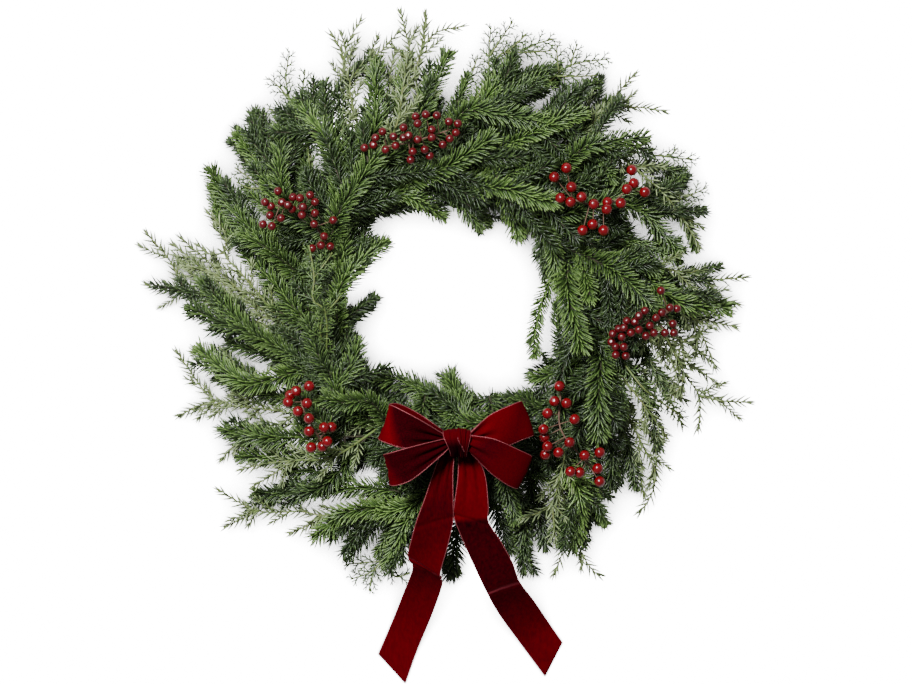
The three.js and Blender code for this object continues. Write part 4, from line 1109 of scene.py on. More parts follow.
def growth_tint() -> NodeTree:
    """Builds the group that tints needles by their shoot, their own draw, their tip and underside, and darkens
    each needle towards its root with painted shade.

    Returns:
        The group's tree.
    """
    nodes, given, out = group_tree("Growth tint", {
        "Deep": (COLOUR, GREY), "Fresh": (COLOUR, GREY), "Tip": (COLOUR, GREY), "Under": (COLOUR, GREY),
        "Tip share": (NUMBER, 0.5)}, ("Color", COLOUR))
    marks = nodes.add("Attribute", {"attribute_name": "growth"})
    own = nodes.add("SeparateColor", Color=marks.outputs["Color"]).outputs
    patches = nodes.add("TexNoise", Scale=38.0, Detail=2.0)
    tone = nodes.math("MULTIPLY_ADD", own["Red"], 0.6, nodes.math("MULTIPLY", marks.outputs["Alpha"], 0.75))
    tone = nodes.math("ADD", tone, nodes.math("MULTIPLY_ADD", patches.outputs[0], 0.5, -0.5))
    tone = nodes.math("MINIMUM", nodes.math("MAXIMUM", tone, 0.0), 1.0)
    base = nodes.mix(tone, given["Deep"], given["Fresh"])
    tip = nodes.math("MULTIPLY", nodes.math("POWER", own["Green"], 2.5), given["Tip share"])
    tip = nodes.math("MULTIPLY", tip, nodes.math("MULTIPLY_ADD", tone, 0.8, 0.2))
    # Painted shade: each needle darkens towards its root, deep among the stems, down to a tenth at the root.
    shade = nodes.math("MINIMUM", nodes.math("MULTIPLY_ADD", own["Green"], 1.3, 0.1), 1.0)
    tipped = nodes.mix(1.0, nodes.mix(tip, base, given["Tip"]), shade, "MULTIPLY")
    nodes.link(nodes.mix(nodes.math("MULTIPLY", own["Blue"], 0.6), tipped, given["Under"]), out)
    return nodes.tree


def mottle() -> NodeTree:
    """Builds the group that mottles one colour with another.

    Returns:
        The group's tree.
    """
    nodes, given, out = group_tree("Mottle", {
        "Colour": (COLOUR, GREY), "Patches": (COLOUR, GREY), "Scale": (NUMBER, 200.0),
        "Amount": (NUMBER, 0.6)}, ("Color", COLOUR))
    place = nodes.add("TexCoord").outputs["Object"]
    noise = nodes.add("TexNoise", Vector=place, Scale=given["Scale"], Detail=4.0)
    share = nodes.add("MapRange", Value=noise.outputs[0], From_Min=0.35, From_Max=0.65, To_Max=1.0)
    amount = nodes.math("MULTIPLY", share.outputs[0], given["Amount"])
    nodes.link(nodes.mix(amount, given["Colour"], given["Patches"]), out)
    return nodes.tree


def fine_relief() -> NodeTree:
    """Builds the group that roughens a surface with a fine noise.

    Returns:
        The group's tree.
    """
    nodes, given, out = group_tree("Fine relief", {"Scale": (NUMBER, 900.0), "Strength": (NUMBER, 0.3)},
                                   ("Normal", "NodeSocketVector"))
    place = nodes.add("TexCoord").outputs["Object"]
    noise = nodes.add("TexNoise", Vector=place, Scale=given["Scale"], Detail=3.0)
    bump = nodes.add("Bump", Height=noise.outputs[0], Strength=given["Strength"], Distance=0.0008)
    nodes.link(bump.outputs[0], out)
    return nodes.tree


@dataclass
class Effects:
    """The shader node groups that several finishes share."""

    tint: NodeTree = field(default_factory=growth_tint)
    mottle: NodeTree = field(default_factory=mottle)
    relief: NodeTree = field(default_factory=fine_relief)


def blank_material(name: str) -> tuple[Material, Nodes, Node]:
    """Makes a material with a plain shader.

    Args:
        name: the material's name.

    Returns:
        The material, its nodes and its shader.
    """
    material = bpy.data.materials.new(name)
    material.use_nodes = True
    return material, Nodes(material.node_tree), material.node_tree.nodes["Principled BSDF"]


def dressed(name: str, tint: NodeTree, tints: dict, relief: NodeTree, reliefs: dict,
            values: dict) -> Material:
    """Makes a material whose colour and relief come from shared groups.

    Args:
        name: the material's name.
        tint: the group that gives its colour.
        tints: the values of that group's inputs.
        relief: the group that gives its relief.
        reliefs: the values of that group's inputs.
        values: the shader's own values.

    Returns:
        The material.
    """
    material, nodes, shader = blank_material(name)
    for tree, inputs, socket in ((tint, tints, "Base Color"), (relief, reliefs, "Normal")):
        nodes.link(nodes.add("Group", {"node_tree": tree}, **inputs).outputs[0], shader.inputs[socket])
    for key, value in values.items():
        shader.inputs[key].default_value = value
    return material


@dataclass(frozen=True)
class NeedleFinish:
    """Living needles or scale leaves."""

    name: str
    deep: Colour
    fresh: Colour
    tip: Colour
    under: Colour
    tip_share: float = 0.5
    roughness: float = 0.45

    def material(self, effects: Effects) -> Material:
        """Makes the material."""
        return dressed(
            self.name, effects.tint,
            {"Deep": rgba(self.deep), "Fresh": rgba(self.fresh), "Tip": rgba(self.tip),
             "Under": rgba(self.under), "Tip share": self.tip_share},
            effects.relief, {"Scale": 700.0, "Strength": 0.12}, {"Roughness": self.roughness})


@dataclass(frozen=True)
class SkinFinish:
    """A mottled skin: bark, berry, thread or coated wire."""

    name: str
    colour: Colour
    patches: Colour
    roughness: float
    scale: float = 200.0
    amount: float = 0.6
    relief: float = 0.2
    relief_scale: float = 900.0
    metallic: float = 0.0
    coat: float = 0.0

    def material(self, effects: Effects) -> Material:
        """Makes the material."""
        return dressed(
            self.name, effects.mottle,
            {"Colour": rgba(self.colour), "Patches": rgba(self.patches), "Scale": self.scale,
             "Amount": self.amount},
            effects.relief, {"Scale": self.relief_scale, "Strength": self.relief},
            {"Roughness": self.roughness, "Metallic": self.metallic, "Coat Weight": self.coat,
             "Coat Roughness": 0.12})


@dataclass(frozen=True)
class VelvetFinish:
    """Velvet with painted light and shade, deep here and bright there, and a painted highlight on its creases."""

    name: str
    # The velvet in painted shade and in painted light.
    deep: Colour
    bright: Colour
    # The painted highlight on the creases.
    crease_highlight: Colour
    sheen_colour: Colour = (1.0, 0.03, 0.06)

    def material(self, effects: Effects) -> Material:
        """Makes the material."""
        return dressed(
            self.name, effects.tint,
            {"Deep": rgba(self.deep), "Fresh": rgba(self.bright), "Tip": rgba(self.bright),
             "Under": rgba(self.crease_highlight), "Tip share": 0.0},
            effects.relief, {"Scale": 1400.0, "Strength": 0.35},
            {"Roughness": 0.9, "Specular IOR Level": 0.02, "Sheen Weight": 0.03, "Sheen Roughness": 0.4,
             "Sheen Tint": rgba(self.sheen_colour)})


@dataclass(frozen=True)
class TableFinish:
    """A white table that glows evenly for the camera, with painted shadow where things come near it."""

    name: str = "white_table"
    colour: Colour = (0.62, 0.62, 0.62)
    patches: Colour = (0.6, 0.6, 0.6)
    glow: float = 22.0
    shade_reach: float = 0.04
    shade_power: float = 3.0

    def material(self, effects: Effects) -> Material:
        """Makes the material.

        Args:
            effects: the shared groups.

        Returns:
            The material.
        """
        material, nodes, shader = blank_material(self.name)
        tint = nodes.add("Group", {"node_tree": effects.mottle}, Colour=rgba(self.colour),
                         Patches=rgba(self.patches), Scale=4.0, Amount=0.5)
        nodes.link(tint.outputs[0], shader.inputs["Base Color"])
        # Painted shadow: the glow dims where something comes within shade_reach of the table.
        nearness = nodes.add("AmbientOcclusion", {"samples": 8}, Distance=self.shade_reach).outputs["AO"]
        glow = nodes.math("MULTIPLY", nodes.math("POWER", nearness, self.shade_power), self.glow)
        seen = nodes.add("LightPath").outputs["Is Camera Ray"]
        nodes.link(nodes.math("MULTIPLY", glow, seen), shader.inputs["Emission Strength"])
        shader.inputs["Emission Color"].default_value = rgba((1.0, 1.0, 1.0))
        shader.inputs["Roughness"].default_value = 0.9
        return material


FIR = NeedleFinish("fir_needles", deep=(0.004, 0.016, 0.003), fresh=(0.055, 0.14, 0.012),
                   tip=(0.32, 0.47, 0.14), under=(0.2, 0.3, 0.13), tip_share=0.75, roughness=0.36)
JUNIPER = NeedleFinish("juniper_needles", deep=(0.1, 0.15, 0.05), fresh=(0.36, 0.47, 0.19),
                       tip=(0.56, 0.64, 0.38), under=(0.34, 0.43, 0.22), tip_share=0.6)
CYPRESS = NeedleFinish("cypress_scales", deep=(0.03, 0.065, 0.018), fresh=(0.12, 0.21, 0.045),
                       tip=(0.26, 0.38, 0.12), under=(0.1, 0.16, 0.05), tip_share=0.5)
BARK = SkinFinish("bark", (0.022, 0.021, 0.01), (0.05, 0.035, 0.018), 0.8, scale=260, relief=0.7,
                  relief_scale=600)
GREEN_STEM = SkinFinish("green_stem", (0.12, 0.19, 0.045), (0.14, 0.12, 0.04), 0.6, scale=160, relief=0.3)
BERRY_STEM = SkinFinish("berry_stem", (0.1, 0.045, 0.03), (0.17, 0.1, 0.065), 0.65, scale=220, relief=0.4)
BRIGHT_SKIN = SkinFinish("bright_berry_skin", (0.16, 0.0005, 0.004), (0.08, 0.0003, 0.002), 0.25, scale=90,
                         relief=0.05, coat=0.1)
DARK_SKIN = SkinFinish("dark_berry_skin", (0.1, 0.001, 0.004), (0.04, 0.0005, 0.002), 0.3, scale=120,
                       relief=0.1, coat=0.2)
VELVET = VelvetFinish("red_velvet", deep=(0.007, 0.0, 0.0008), bright=(0.12, 0.0, 0.004),
                      crease_highlight=(0.5, 0.07, 0.1))
EDGE_THREAD = SkinFinish("wired_edge", (0.26, 0.05, 0.06), (0.16, 0.02, 0.03), 0.4, scale=700, relief=0.6,
                         relief_scale=1500, metallic=0.4)
COATED_WIRE = SkinFinish("green_coated_wire", (0.028, 0.069, 0.036), (0.02, 0.04, 0.022), 0.4, scale=300,
                         relief=0.15, metallic=0.3)


# ---- The wire frame ----
def rounded(line: Array, bend: float, steps: int = 5) -> Array:
    """Rounds the corners of a bent wire.

    Args:
        line: its corners, a row each.
        bend: how far from a corner the bend starts, in millimetres.
        steps: how many spans a bend has.

    Returns:
        The points of the wire's middle.
    """
    points = [line[0]]
    for before, corner, after in zip(line, line[1:], line[2:]):
        start = corner + unit(before - corner) * bend
        end = corner + unit(after - corner) * bend
        for share in np.linspace(0, 1, steps + 1):
            points.append(start * (1 - share)**2 + corner * 2 * share * (1 - share) + end * share**2)
    points.append(line[-1])
    return np.array(points)


@dataclass
class WireFrame:
    """The ring of wire, flat below, and the clamps welded across it."""

    name: str = "wire_frame"
    ring_radius: float = RING_RADIUS
    wire_radius: float = WIRE_RADIUS
    clamp_radius: float = CLAMP_WIRE_RADIUS
    half_width: float = CLAMP_HALF_WIDTH
    height: float = CLAMP_HEIGHT
    lip: float = CLAMP_LIP
    bend: float = 2.4
    slimmer: float = 0.92
    segments: int = 160
    sides: int = 14

    def ring_line(self, count: int) -> Array:
        """Gives points on the middle of the ring's wire."""
        turns = np.linspace(0, 2 * math.pi, count, endpoint=False)
        return np.stack([np.cos(turns) * self.ring_radius, np.sin(turns) * self.ring_radius,
                         np.full(count, WIRE_HALF_HEIGHT)], axis=-1)

    def clamp_line(self, index: int) -> Array:
        """Gives the corners of a clamp's wire, from one bent-over end to the other.

        Args:
            index: which clamp.

        Returns:
            A row for each.
        """
        centre, outward, _ = clamp_axes(index)
        across = ((-self.lip, self.height), (-self.half_width, self.height), (-self.half_width, WIRE_HALF_HEIGHT),
                  (self.half_width, WIRE_HALF_HEIGHT), (self.half_width, self.height), (self.lip, self.height))
        return np.array([centre + outward * x + UP * z for x, z in across])

    def take_room(self, room: Room) -> None:
        """Marks the frame's room as taken.

        Args:
            room: what is taken.
        """
        for index in range(CLAMP_COUNT):
            line = self.clamp_line(index)
            for start, end in zip(line, line[1:]):
                room.take(self.name, (start, (start + end) / 2, end), self.clamp_radius)
        room.take(self.name, self.ring_line(180), 0)

    def build(self, wire: Material) -> Object:
        """Makes the frame.

        Args:
            wire: its material.

        Returns:
            The frame's object.
        """
        piece = Piece("frame_wire")
        middle = self.ring_line(self.segments)
        outward = unit(middle * (1, 1, 0))
        turns = np.linspace(0, 2 * math.pi, self.sides, endpoint=False)[None, :, None]
        body = middle[:, None] + outward[:, None] * np.cos(turns) * self.wire_radius
        body = body + UP * np.sin(turns) * WIRE_HALF_HEIGHT
        index = np.arange(self.segments * self.sides).reshape(self.segments, self.sides)
        ahead, across = np.roll(index, -1, axis=0), np.roll(index, -1, axis=1)
        far = np.roll(ahead, -1, axis=1)
        piece.add(body.reshape(-1, 3), [np.stack([index, ahead, far, across], axis=-1).reshape(-1, 4)])
        for clamp in range(CLAMP_COUNT):
            line = rounded(self.clamp_line(clamp), self.bend)
            _, _, clockwise = clamp_axes(clamp)
            piece.add(*tube(line, np.full(len(line), self.clamp_radius * self.slimmer), 8, clockwise))
        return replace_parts(piece.finish([wire]), self.name)


# ---- The bow ----
# Painted light and shade along each strip, as pairs of the share along and the brightness.
PAINTED_VELVET_LIGHT = {
    "bow_loop_upper_left": "0,0.2 0.12,0.1 0.28,0.12 0.38,1 0.5,0.6 1,0.2",
    "bow_loop_lower_left": "0,0.2 0.15,0.12 0.32,0.1 0.44,0.55 1,0.2",
    "bow_loop_upper_right": "0,0.35 0.1,0.9 0.22,0.75 0.35,0.42 0.45,0.6 1,0.2",
    "bow_loop_lower_right": "0,0.6 0.1,0.2 0.25,0.45 0.4,0.5 1,0.2",
    "bow_tail_left": "0,0.3 0.1,0.6 0.28,0.25 0.42,0.4 0.54,0.65 0.62,0.7 0.65,0.25 0.75,0.6 1,0.75",
    "bow_tail_right": "0,0.3 0.1,0.75 0.3,0.75 0.345,0.85 0.375,0.05 0.5,0.2 0.68,0.2 0.75,0.3 1,0.7",
}
# The ridges pressed into the tails: the share along, how far it slants, its height, its width and how strong the
# painted highlight on its crest is.
RIDGES = {
    "bow_tail_left": "0.59,0.033,1.8,0.013,1 0.628,-0.03,0.8,0.006,0.6 0.36,-0.05,1,0.012,0",
    "bow_tail_right": "0.36,0.03,1.2,0.014,0 0.687,-0.003,0.8,0.006,0.6",
}
QUARTERS = (0, 0.25, 0.5, 0.75, 1)


def thick_strip(grid: Array, thickness: float) -> tuple[Array, list[Array]]:
    """Gives a sheet its thickness.

    Args:
        grid: points of its middle, rows along it and columns across it.
        thickness: its thickness.

    Returns:
        The vertices and faces of the closed strip.
    """
    along = np.gradient(grid, axis=0)
    across = np.gradient(grid, axis=1)
    normal = unit(np.cross(across, along))
    rows, columns = grid.shape[:2]
    upper = np.arange(rows * columns).reshape(rows, columns)
    lower = upper + rows * columns
    vertices = np.vstack([(grid + normal * thickness / 2).reshape(-1, 3),
                          (grid - normal * thickness / 2).reshape(-1, 3)])

    def quads(a: Array, b: Array, c: Array, d: Array) -> Array:
        """Joins four arrays of corners into faces."""
        return np.stack([a, b, c, d], axis=-1).reshape(-1, 4)

    faces = [quads(upper[:-1, :-1], upper[:-1, 1:], upper[1:, 1:], upper[1:, :-1]),
             quads(lower[:-1, :-1], lower[1:, :-1], lower[1:, 1:], lower[:-1, 1:])]
    rim = np.concatenate([upper[0, :-1], upper[:-1, -1], upper[-1, :0:-1], upper[:0:-1, 0]])
    under = rim + rows * columns
    faces.append(quads(rim, under, np.roll(under, -1), np.roll(rim, -1)))
    return vertices, faces


def middle_length(grid: Array) -> float:
    """Gives the length of a sheet along its middle."""
    return float(np.linalg.norm(np.diff(grid[:, grid.shape[1] // 2], axis=0), axis=1).sum())


@dataclass
class Ribbon:
    """One strip of the bow: wired velvet ribbon between two edges of the plan."""

    name: str
    edges: tuple
    hangs: bool
    cut_width: float = 38.0
    thickness: float = 0.9
    edge_radius: float = 0.55
    rows: int = 150
    columns: int = 25
    folds: float = 2.5
    tuck: float = 7.0
    tuck_draw: float = 0.35
    crown: float = 1.5
    fold_sway: float = 0.05
    # How much the folds open and how far from the knot, in a loop and in a tail.
    opening: tuple = ((0.7, 0.6), (0.75, 0.3))
    # How far the painted light and shade slants across, in a loop and in a tail.
    shading_slant: tuple = (0.18, 0.06)
    floor_gap: float = 0.4
    clearance: float = 2.5
    extra_rows: int = 5

    def rails(self, count: int) -> list[Array]:
        """Reads both edges at as many even shares."""
        shares = np.linspace(0, 1, count)
        return [curve_points([plan_point(place, place[2]) for place in edge], shares, even=False)
                for edge in self.edges]

    def take_room(self, room: Room) -> None:
        """Marks the strip's room as taken.

        Args:
            room: what is taken.
        """
        left, right = self.rails(len(self.edges[0]) + self.extra_rows)
        for row in range(len(left)):
            ahead = min(row + 1, len(left) - 1)
            for share in QUARTERS[:-1]:
                start = left[row] + (left[ahead] - left[row]) * share
                end = right[row] + (right[ahead] - right[row]) * share
                room.take(self.name, [start + (end - start) * across for across in QUARTERS], self.clearance)

    def tucked(self, left: Array, right: Array) -> tuple[Array, Array]:
        """Runs the strip's ends on into the knot, drawn together.

        Args:
            left: the points of one edge.
            right: the points of the other.

        Returns:
            The longer edges.
        """
        middle = (left + right) / 2
        ends = []
        for row, way in ((0, middle[0] - middle[2]), (-1, middle[-1] - middle[-3])):
            steps = np.array(QUARTERS)[1:, None]
            ends.append([edge[row] + unit(way) * self.tuck * steps
                         + (middle[row] - edge[row]) * self.tuck_draw * steps for edge in (left, right)])
        first, last = ends
        if self.hangs:
            return np.vstack([first[0][::-1], left]), np.vstack([first[1][::-1], right])
        return np.vstack([first[0][::-1], left, last[0]]), np.vstack([first[1][::-1], right, last[1]])

    def surface(self) -> Array:
        """Shapes the strip's middle surface, crowned and gathered into folds.

        Returns:
            Its points, rows along it and columns across it.
        """
        left, right = self.tucked(*self.rails(self.rows))
        rows = len(left)
        across = np.linspace(0, 1, self.columns)[None, :, None]
        grid = left[:, None] * (1 - across) + right[:, None] * across
        width = np.linalg.norm(right - left, axis=1)
        normal = unit(np.cross(right - left, np.gradient((left + right) / 2, axis=0)))
        height = width / (math.pi * self.folds) * np.sqrt(np.maximum(0, self.cut_width / width - 1))
        share = np.linspace(0, 1, rows)
        from_knot = share if self.hangs else np.minimum(share, 1 - share) * 2
        eased, spread = self.opening[self.hangs]
        drawn = 1 - eased * smoothstep(from_knot, 0.02, spread)
        across = across[..., 0]
        sway = self.fold_sway * np.sin(9 * share)[:, None]
        turn = self.folds * 2 * math.pi * (across + sway) + len(self.name)
        crown = self.crown * (1 - (2 * across - 1)**2)
        offset = (height * drawn)[:, None] * np.sin(turn) * (0.45 + 0.55 * np.sin(math.pi * across)) + crown
        for place, slant, rise, breadth, _ in places(RIDGES.get(self.name, "")):
            line = place + slant * (across - 0.5)
            offset = offset + rise * np.exp(-((share[:, None] - line) / breadth)**2)
        points = grid + normal[:, None] * offset[..., None]
        points[..., 2] = np.maximum(points[..., 2], self.edge_radius + self.floor_gap)
        return points

    def painted_light(self, rows: int) -> Array:
        """Marks both faces with painted light and shade, and with painted highlights on the creases.

        Args:
            rows: how many rows of points each has.

        Returns:
            A growth mark for each vertex.
        """
        across = np.linspace(-0.5, 0.5, self.columns)[None, :]
        share = np.linspace(0, 1, rows)[:, None]
        marks = np.zeros((rows, self.columns, 4))
        marks[..., 0], marks[..., 1] = 0.5, 1.0
        slanted = share + across * self.shading_slant[self.hangs]
        # Painted light and shade along the strip.
        marks[..., 3] = np.interp(slanted, *zip(*places(PAINTED_VELVET_LIGHT[self.name])))
        # Painted highlight along the crest of each crease.
        for place, slant, _, breadth, crease_highlight in places(RIDGES.get(self.name, "")):
            crest = place - breadth / 2 + slant * across
            marks[..., 2] += crease_highlight * np.exp(-((share - crest) / (0.55 * breadth))**2)
        return np.tile(marks.reshape(-1, 4), (2, 1))

    def build(self, materials: Sequence[Material]) -> Object:
        """Makes the strip with its wired edges.

        Args:
            materials: the velvet and the edge's thread.

        Returns:
            The strip's object.
        """
        grid = self.surface()
        piece = Piece(self.name.replace("bow_", "ribbon_"))
        piece.add(*thick_strip(grid, self.thickness), growth=self.painted_light(len(grid)))
        for edge in (grid[:, 0], grid[:, -1]):
            piece.add(*tube(edge, np.full(len(edge), self.edge_radius), 7, self.edge_across(edge)), slot=1)
        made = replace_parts(piece.finish(materials), self.name)
        middle_length(grid) * MM
        return made

    def edge_across(self, edge: Array) -> Array:
        """Gives a direction that an edge never takes."""
        return unit(np.cross(edge[-1] - edge[0] + UP, UP)) if self.hangs else np.array([0.0, 1.0, 0.05])


@dataclass
class Knot:
    """The pleated band that wraps the middle of the bow."""

    name: str = "bow_knot"
    half_length: float = KNOT_HALF_LENGTH
    radius: float = 16.0
    end_radius: float = 11.0
    cut_width: float = 38.0
    thickness: float = 0.9
    edge_radius: float = 0.65
    clearance: float = 17
    rows: int = 110
    columns: int = 61
    gap: float = math.radians(8)
    waist: float = 0.44
    lean: float = 1.6
    # Each pleat: how far across it lies, its width and its depth.
    pleats: tuple = ((-0.45, 0.09, 1.2), (0.3, 0.06, 2.0), (0.48, 0.05, 1.8), (0.72, 0.06, 2.4))
    hollow_width: float = 0.36
    hollow_depth: float = 7.0
    fold_step: float = 1.3
    # The turns between which the folded edge shows, and the shade in the hollow and on the fold.
    fold_turns: tuple = (-0.85, 0.45)
    shades: tuple = (0.75, 0.45)

    def take_room(self, room: Room) -> None:
        """Marks the knot's room as taken."""
        room.take(self.name, [plan_point(KNOT_PLAN, KNOT_HEIGHT)], self.clearance)

    def fold(self, turn: Array) -> Array:
        """Gives how far across the folded edge lies at some turns round the band."""
        return 0.05 + 0.7 * smoothstep(-turn, -0.44, 0.77)

    def places(self) -> tuple[Array, Array, Array]:
        """Lays out the band's mesh.

        Returns:
            The turn of each row, how far across each column lies, and which places lie on the folded layer.
        """
        turn = np.linspace(-math.pi + self.gap, math.pi - self.gap, self.rows)[:, None]
        across = np.linspace(-1, 1, self.columns)[None, :]
        return turn, across, smoothstep(across - self.fold(turn), -0.05, 0.03)

    def surface(self) -> Array:
        """Shapes the band's middle surface.

        Returns:
            Its points, rows round it and columns across it.
        """
        turn, across, folded = self.places()
        swell = np.sqrt(np.maximum(0, 1 - (across * 0.93)**2))
        radius = self.end_radius + (self.radius - self.end_radius) * swell
        low = smoothstep(-np.sin(turn), -0.9, 0.95)
        front = 0.5 + 0.5 * np.cos(turn)
        for place, width, depth in self.pleats:
            line = place + 0.05 * np.sin(2.2 * turn + 5 * place)
            radius = radius - depth * np.exp(-((across - line) / width)**2) * front
        hollow = (1 + self.hollow_depth * low) * np.exp(-(across / self.hollow_width)**2) * (1 - 0.7 * folded)
        radius = radius + (self.fold_step * folded - hollow) * front
        x = across * self.half_length * (1 - self.waist * low) + self.lean * low
        middle = plan_point(KNOT_PLAN, KNOT_HEIGHT)
        y, z = middle[1] + radius * np.sin(turn), middle[2] + radius * np.cos(turn)
        return np.stack([middle[0] + x, y, z], axis=-1)

    def build(self, materials: Sequence[Material]) -> Object:
        """Makes the band.

        Args:
            materials: the velvet and the edge's thread.

        Returns:
            The band's object.
        """
        grid = self.surface()
        turn, _, folded = self.places()
        piece = Piece("knot_band")
        marks = np.tile([0.5, 1.0, 0.0, 0.5], (*grid.shape[:2], 1))
        # Painted shade: the band darkens on its lower side, towards the tails, and less on its folded layer.
        shaded = smoothstep(plan_point(KNOT_PLAN)[1] - grid[..., 1], -9, 8)
        marks[..., 3] = 0.5 - shaded * (self.shades[0] - self.shades[1] * folded)
        piece.add(*thick_strip(grid, self.thickness), growth=np.tile(marks.reshape(-1, 4), (2, 1)))
        first, last = self.fold_turns
        rows = np.flatnonzero((turn[:, 0] > first) & (turn[:, 0] < last))
        columns = np.rint((self.fold(turn[rows, 0]) + 1) / 2 * (self.columns - 1)).astype(int)
        for edge in (grid[:, 0], grid[:, -1], grid[rows, columns]):
            piece.add(*tube(edge, np.full(len(edge), self.edge_radius), 7, np.array([1.0, 0.0, 0.0])), slot=1)
        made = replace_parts(piece.finish(materials), self.name)
        middle_length(grid) * MM
        return made


@dataclass
class Bow:
    """The bow: four loops, two tails and the knot."""

    strips: list[Ribbon] = field(default_factory=lambda: [
        Ribbon(name, parts(edges), name.startswith("bow_tail")) for name, edges in RIBBONS.items()])
    knot: Knot = field(default_factory=Knot)

    def take_room(self, room: Room) -> None:
        """Marks the bow's room as taken."""
        for part in (self.knot, *self.strips):
            part.take_room(room)

    def build(self, materials: Sequence[Material]) -> list[Object]:
        """Makes all its pieces."""
        return [part.build(materials) for part in (*self.strips, self.knot)]


# ---- Berries ----
PIT_DEPTH = 0.1
PIT_WIDTH = 0.22
STALK_STEP = 0.008
STALK_TRIES = 90
STALK_CLEARANCE = 0.8
STALK_SPACING = 3


def ball(middle: Array, radius: float, pole: Array) -> tuple[Array, list[Array]]:
    """Makes a berry's skin: a ball with a small pit at its pole.

    Args:
        middle: its middle.
        radius: its radius.
        pole: the way that its pit faces.

    Returns:
        Its vertices and faces.
    """
    rows, sides = 13, 20
    polar = np.linspace(0, math.pi, rows)
    turns = np.linspace(0, 2 * math.pi, sides, endpoint=False)
    aside = unit(np.cross(pole, (0.31, 0.52, 0.8)))
    beside = np.cross(pole, aside)
    pit = 1 - PIT_DEPTH * np.exp(-(polar / PIT_WIDTH)**2)
    ring = np.cos(turns)[None, :, None] * aside + np.sin(turns)[None, :, None] * beside
    ways = np.sin(polar)[:, None, None] * ring + np.cos(polar)[:, None, None] * pole
    body = middle + ways * (radius * pit)[:, None, None]
    index = np.arange(rows * sides).reshape(rows, sides)[1:-1] - sides
    ahead = np.roll(index, -1, axis=1)
    count = (rows - 2) * sides
    faces = np.stack([index[:-1], index[1:], ahead[1:], ahead[:-1]], axis=-1).reshape(-1, 4)
    top = np.stack([index[0], ahead[0], np.full(sides, count)], axis=-1)
    bottom = np.stack([ahead[-1], index[-1], np.full(sides, count + 1)], axis=-1)
    return np.vstack([body[1:-1].reshape(-1, 3), body[:1, 0], body[-1:, 0]]), [faces, np.vstack([top, bottom])]


@dataclass
class Cluster:
    """One cluster of berries on its stalk."""

    name: str
    radius: float
    top: float
    spine: tuple
    berries: tuple
    more: tuple
    slope: float = 0.22
    unevenness: float = 5.0
    spine_depth: float = 17.0
    stem_radius: float = 0.5
    spine_tip_radius: float = 0.7
    clearance: float = 0.5
    spacing: float = 1.96
    lowering: float = 1.5
    # How far out the dried tip's rings lie and how wide they are, as shares of the berry's radius.
    dried_tip: tuple = ((0.86, 0.93, 0.97), (0.16, 0.15, 0.07))
    centres: list[Array] = field(default_factory=list)
    line: Array | None = None
    foot: Array | None = None

    def level(self, place: Sequence[float], middle: Array) -> Array:
        """Gives the point over a place of the plan at which a berry of the top layer lies.

        Args:
            place: the place.
            middle: the cluster's middle, where it is highest.

        Returns:
            The point.
        """
        point = plan_point(place)
        point[2] = self.top - self.radius - self.slope * plan_distance(point, middle)
        return point

    def take_room(self, room: Room) -> None:
        """Places its berries, the highest in its middle, and marks their room as taken.

        Args:
            room: what is taken.
        """
        draw = repeatable(len(self.name))
        middle = np.mean([plan_point(place) for place in self.berries], axis=0)
        self.centres = [self.level(place, middle) - UP * self.unevenness * draw() for place in self.berries]
        self.line = sampled_curve([self.level(place, middle) - UP * self.spine_depth for place in self.spine])
        room.take(self.name, self.centres, self.radius + self.clearance)
        room.take(self.name, self.line, STALK_RADIUS)
        for place in self.more:
            self.fill_up(self.level(place, middle))

    def fill_up(self, point: Array) -> None:
        """Adds a berry as high as the others leave it room.

        Args:
            point: the highest place it may take.
        """
        while min(np.linalg.norm(point - other) for other in self.centres) < self.spacing * self.radius:
            point = point - UP * self.lowering
        self.centres.append(point)

    def set_stalk(self, room: Room) -> None:
        """Finds where on the frame its stalk stands."""
        self.foot = stalk_foot(self.name, self.line[0], STALK_RADIUS, room)

    def build(self, materials: Sequence[Material]) -> Object:
        """Makes the cluster.

        Args:
            materials: the skin, the stems and the dried tip of each berry.

        Returns:
            The cluster's object.
        """
        piece = Piece(self.name.replace("berries", "cluster"))
        radii = np.linspace(STALK_RADIUS, self.spine_tip_radius, len(self.line))
        piece.add(*tube(self.line, radii, 8), slot=1)
        if self.foot is not None:
            stalk = curve_points([self.line[0], self.foot], np.linspace(0, 1, 12))
            piece.add(*tube(stalk, np.full(12, STALK_RADIUS), 8, np.array([0.6, 0.8, 0.0])), slot=1)
        for middle in self.centres:
            root = self.line[int(np.argmin(np.linalg.norm(self.line - middle, axis=1)))]
            pole = unit(unit(middle - root) + UP * 0.5)
            piece.add(*ball(middle, self.radius * 1.06, pole))
            seat = middle - pole * self.radius * 0.95
            bend = (root + seat) / 2 + (seat - middle) * 0.35
            points = curve_points([root, bend, seat], np.linspace(0, 1, 9))
            piece.add(*tube(points, np.linspace(1.25, 1, 9) * self.stem_radius, 6), slot=1)
            shares, widths = self.dried_tip
            tip = np.array([middle + pole * self.radius * share for share in shares])
            across = unit(np.cross(pole, (0.2, 0.9, 0.1)))
            piece.add(*tube(tip, np.array(widths) * self.radius, 6, across), slot=2)
        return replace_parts(piece.finish(materials), self.name)


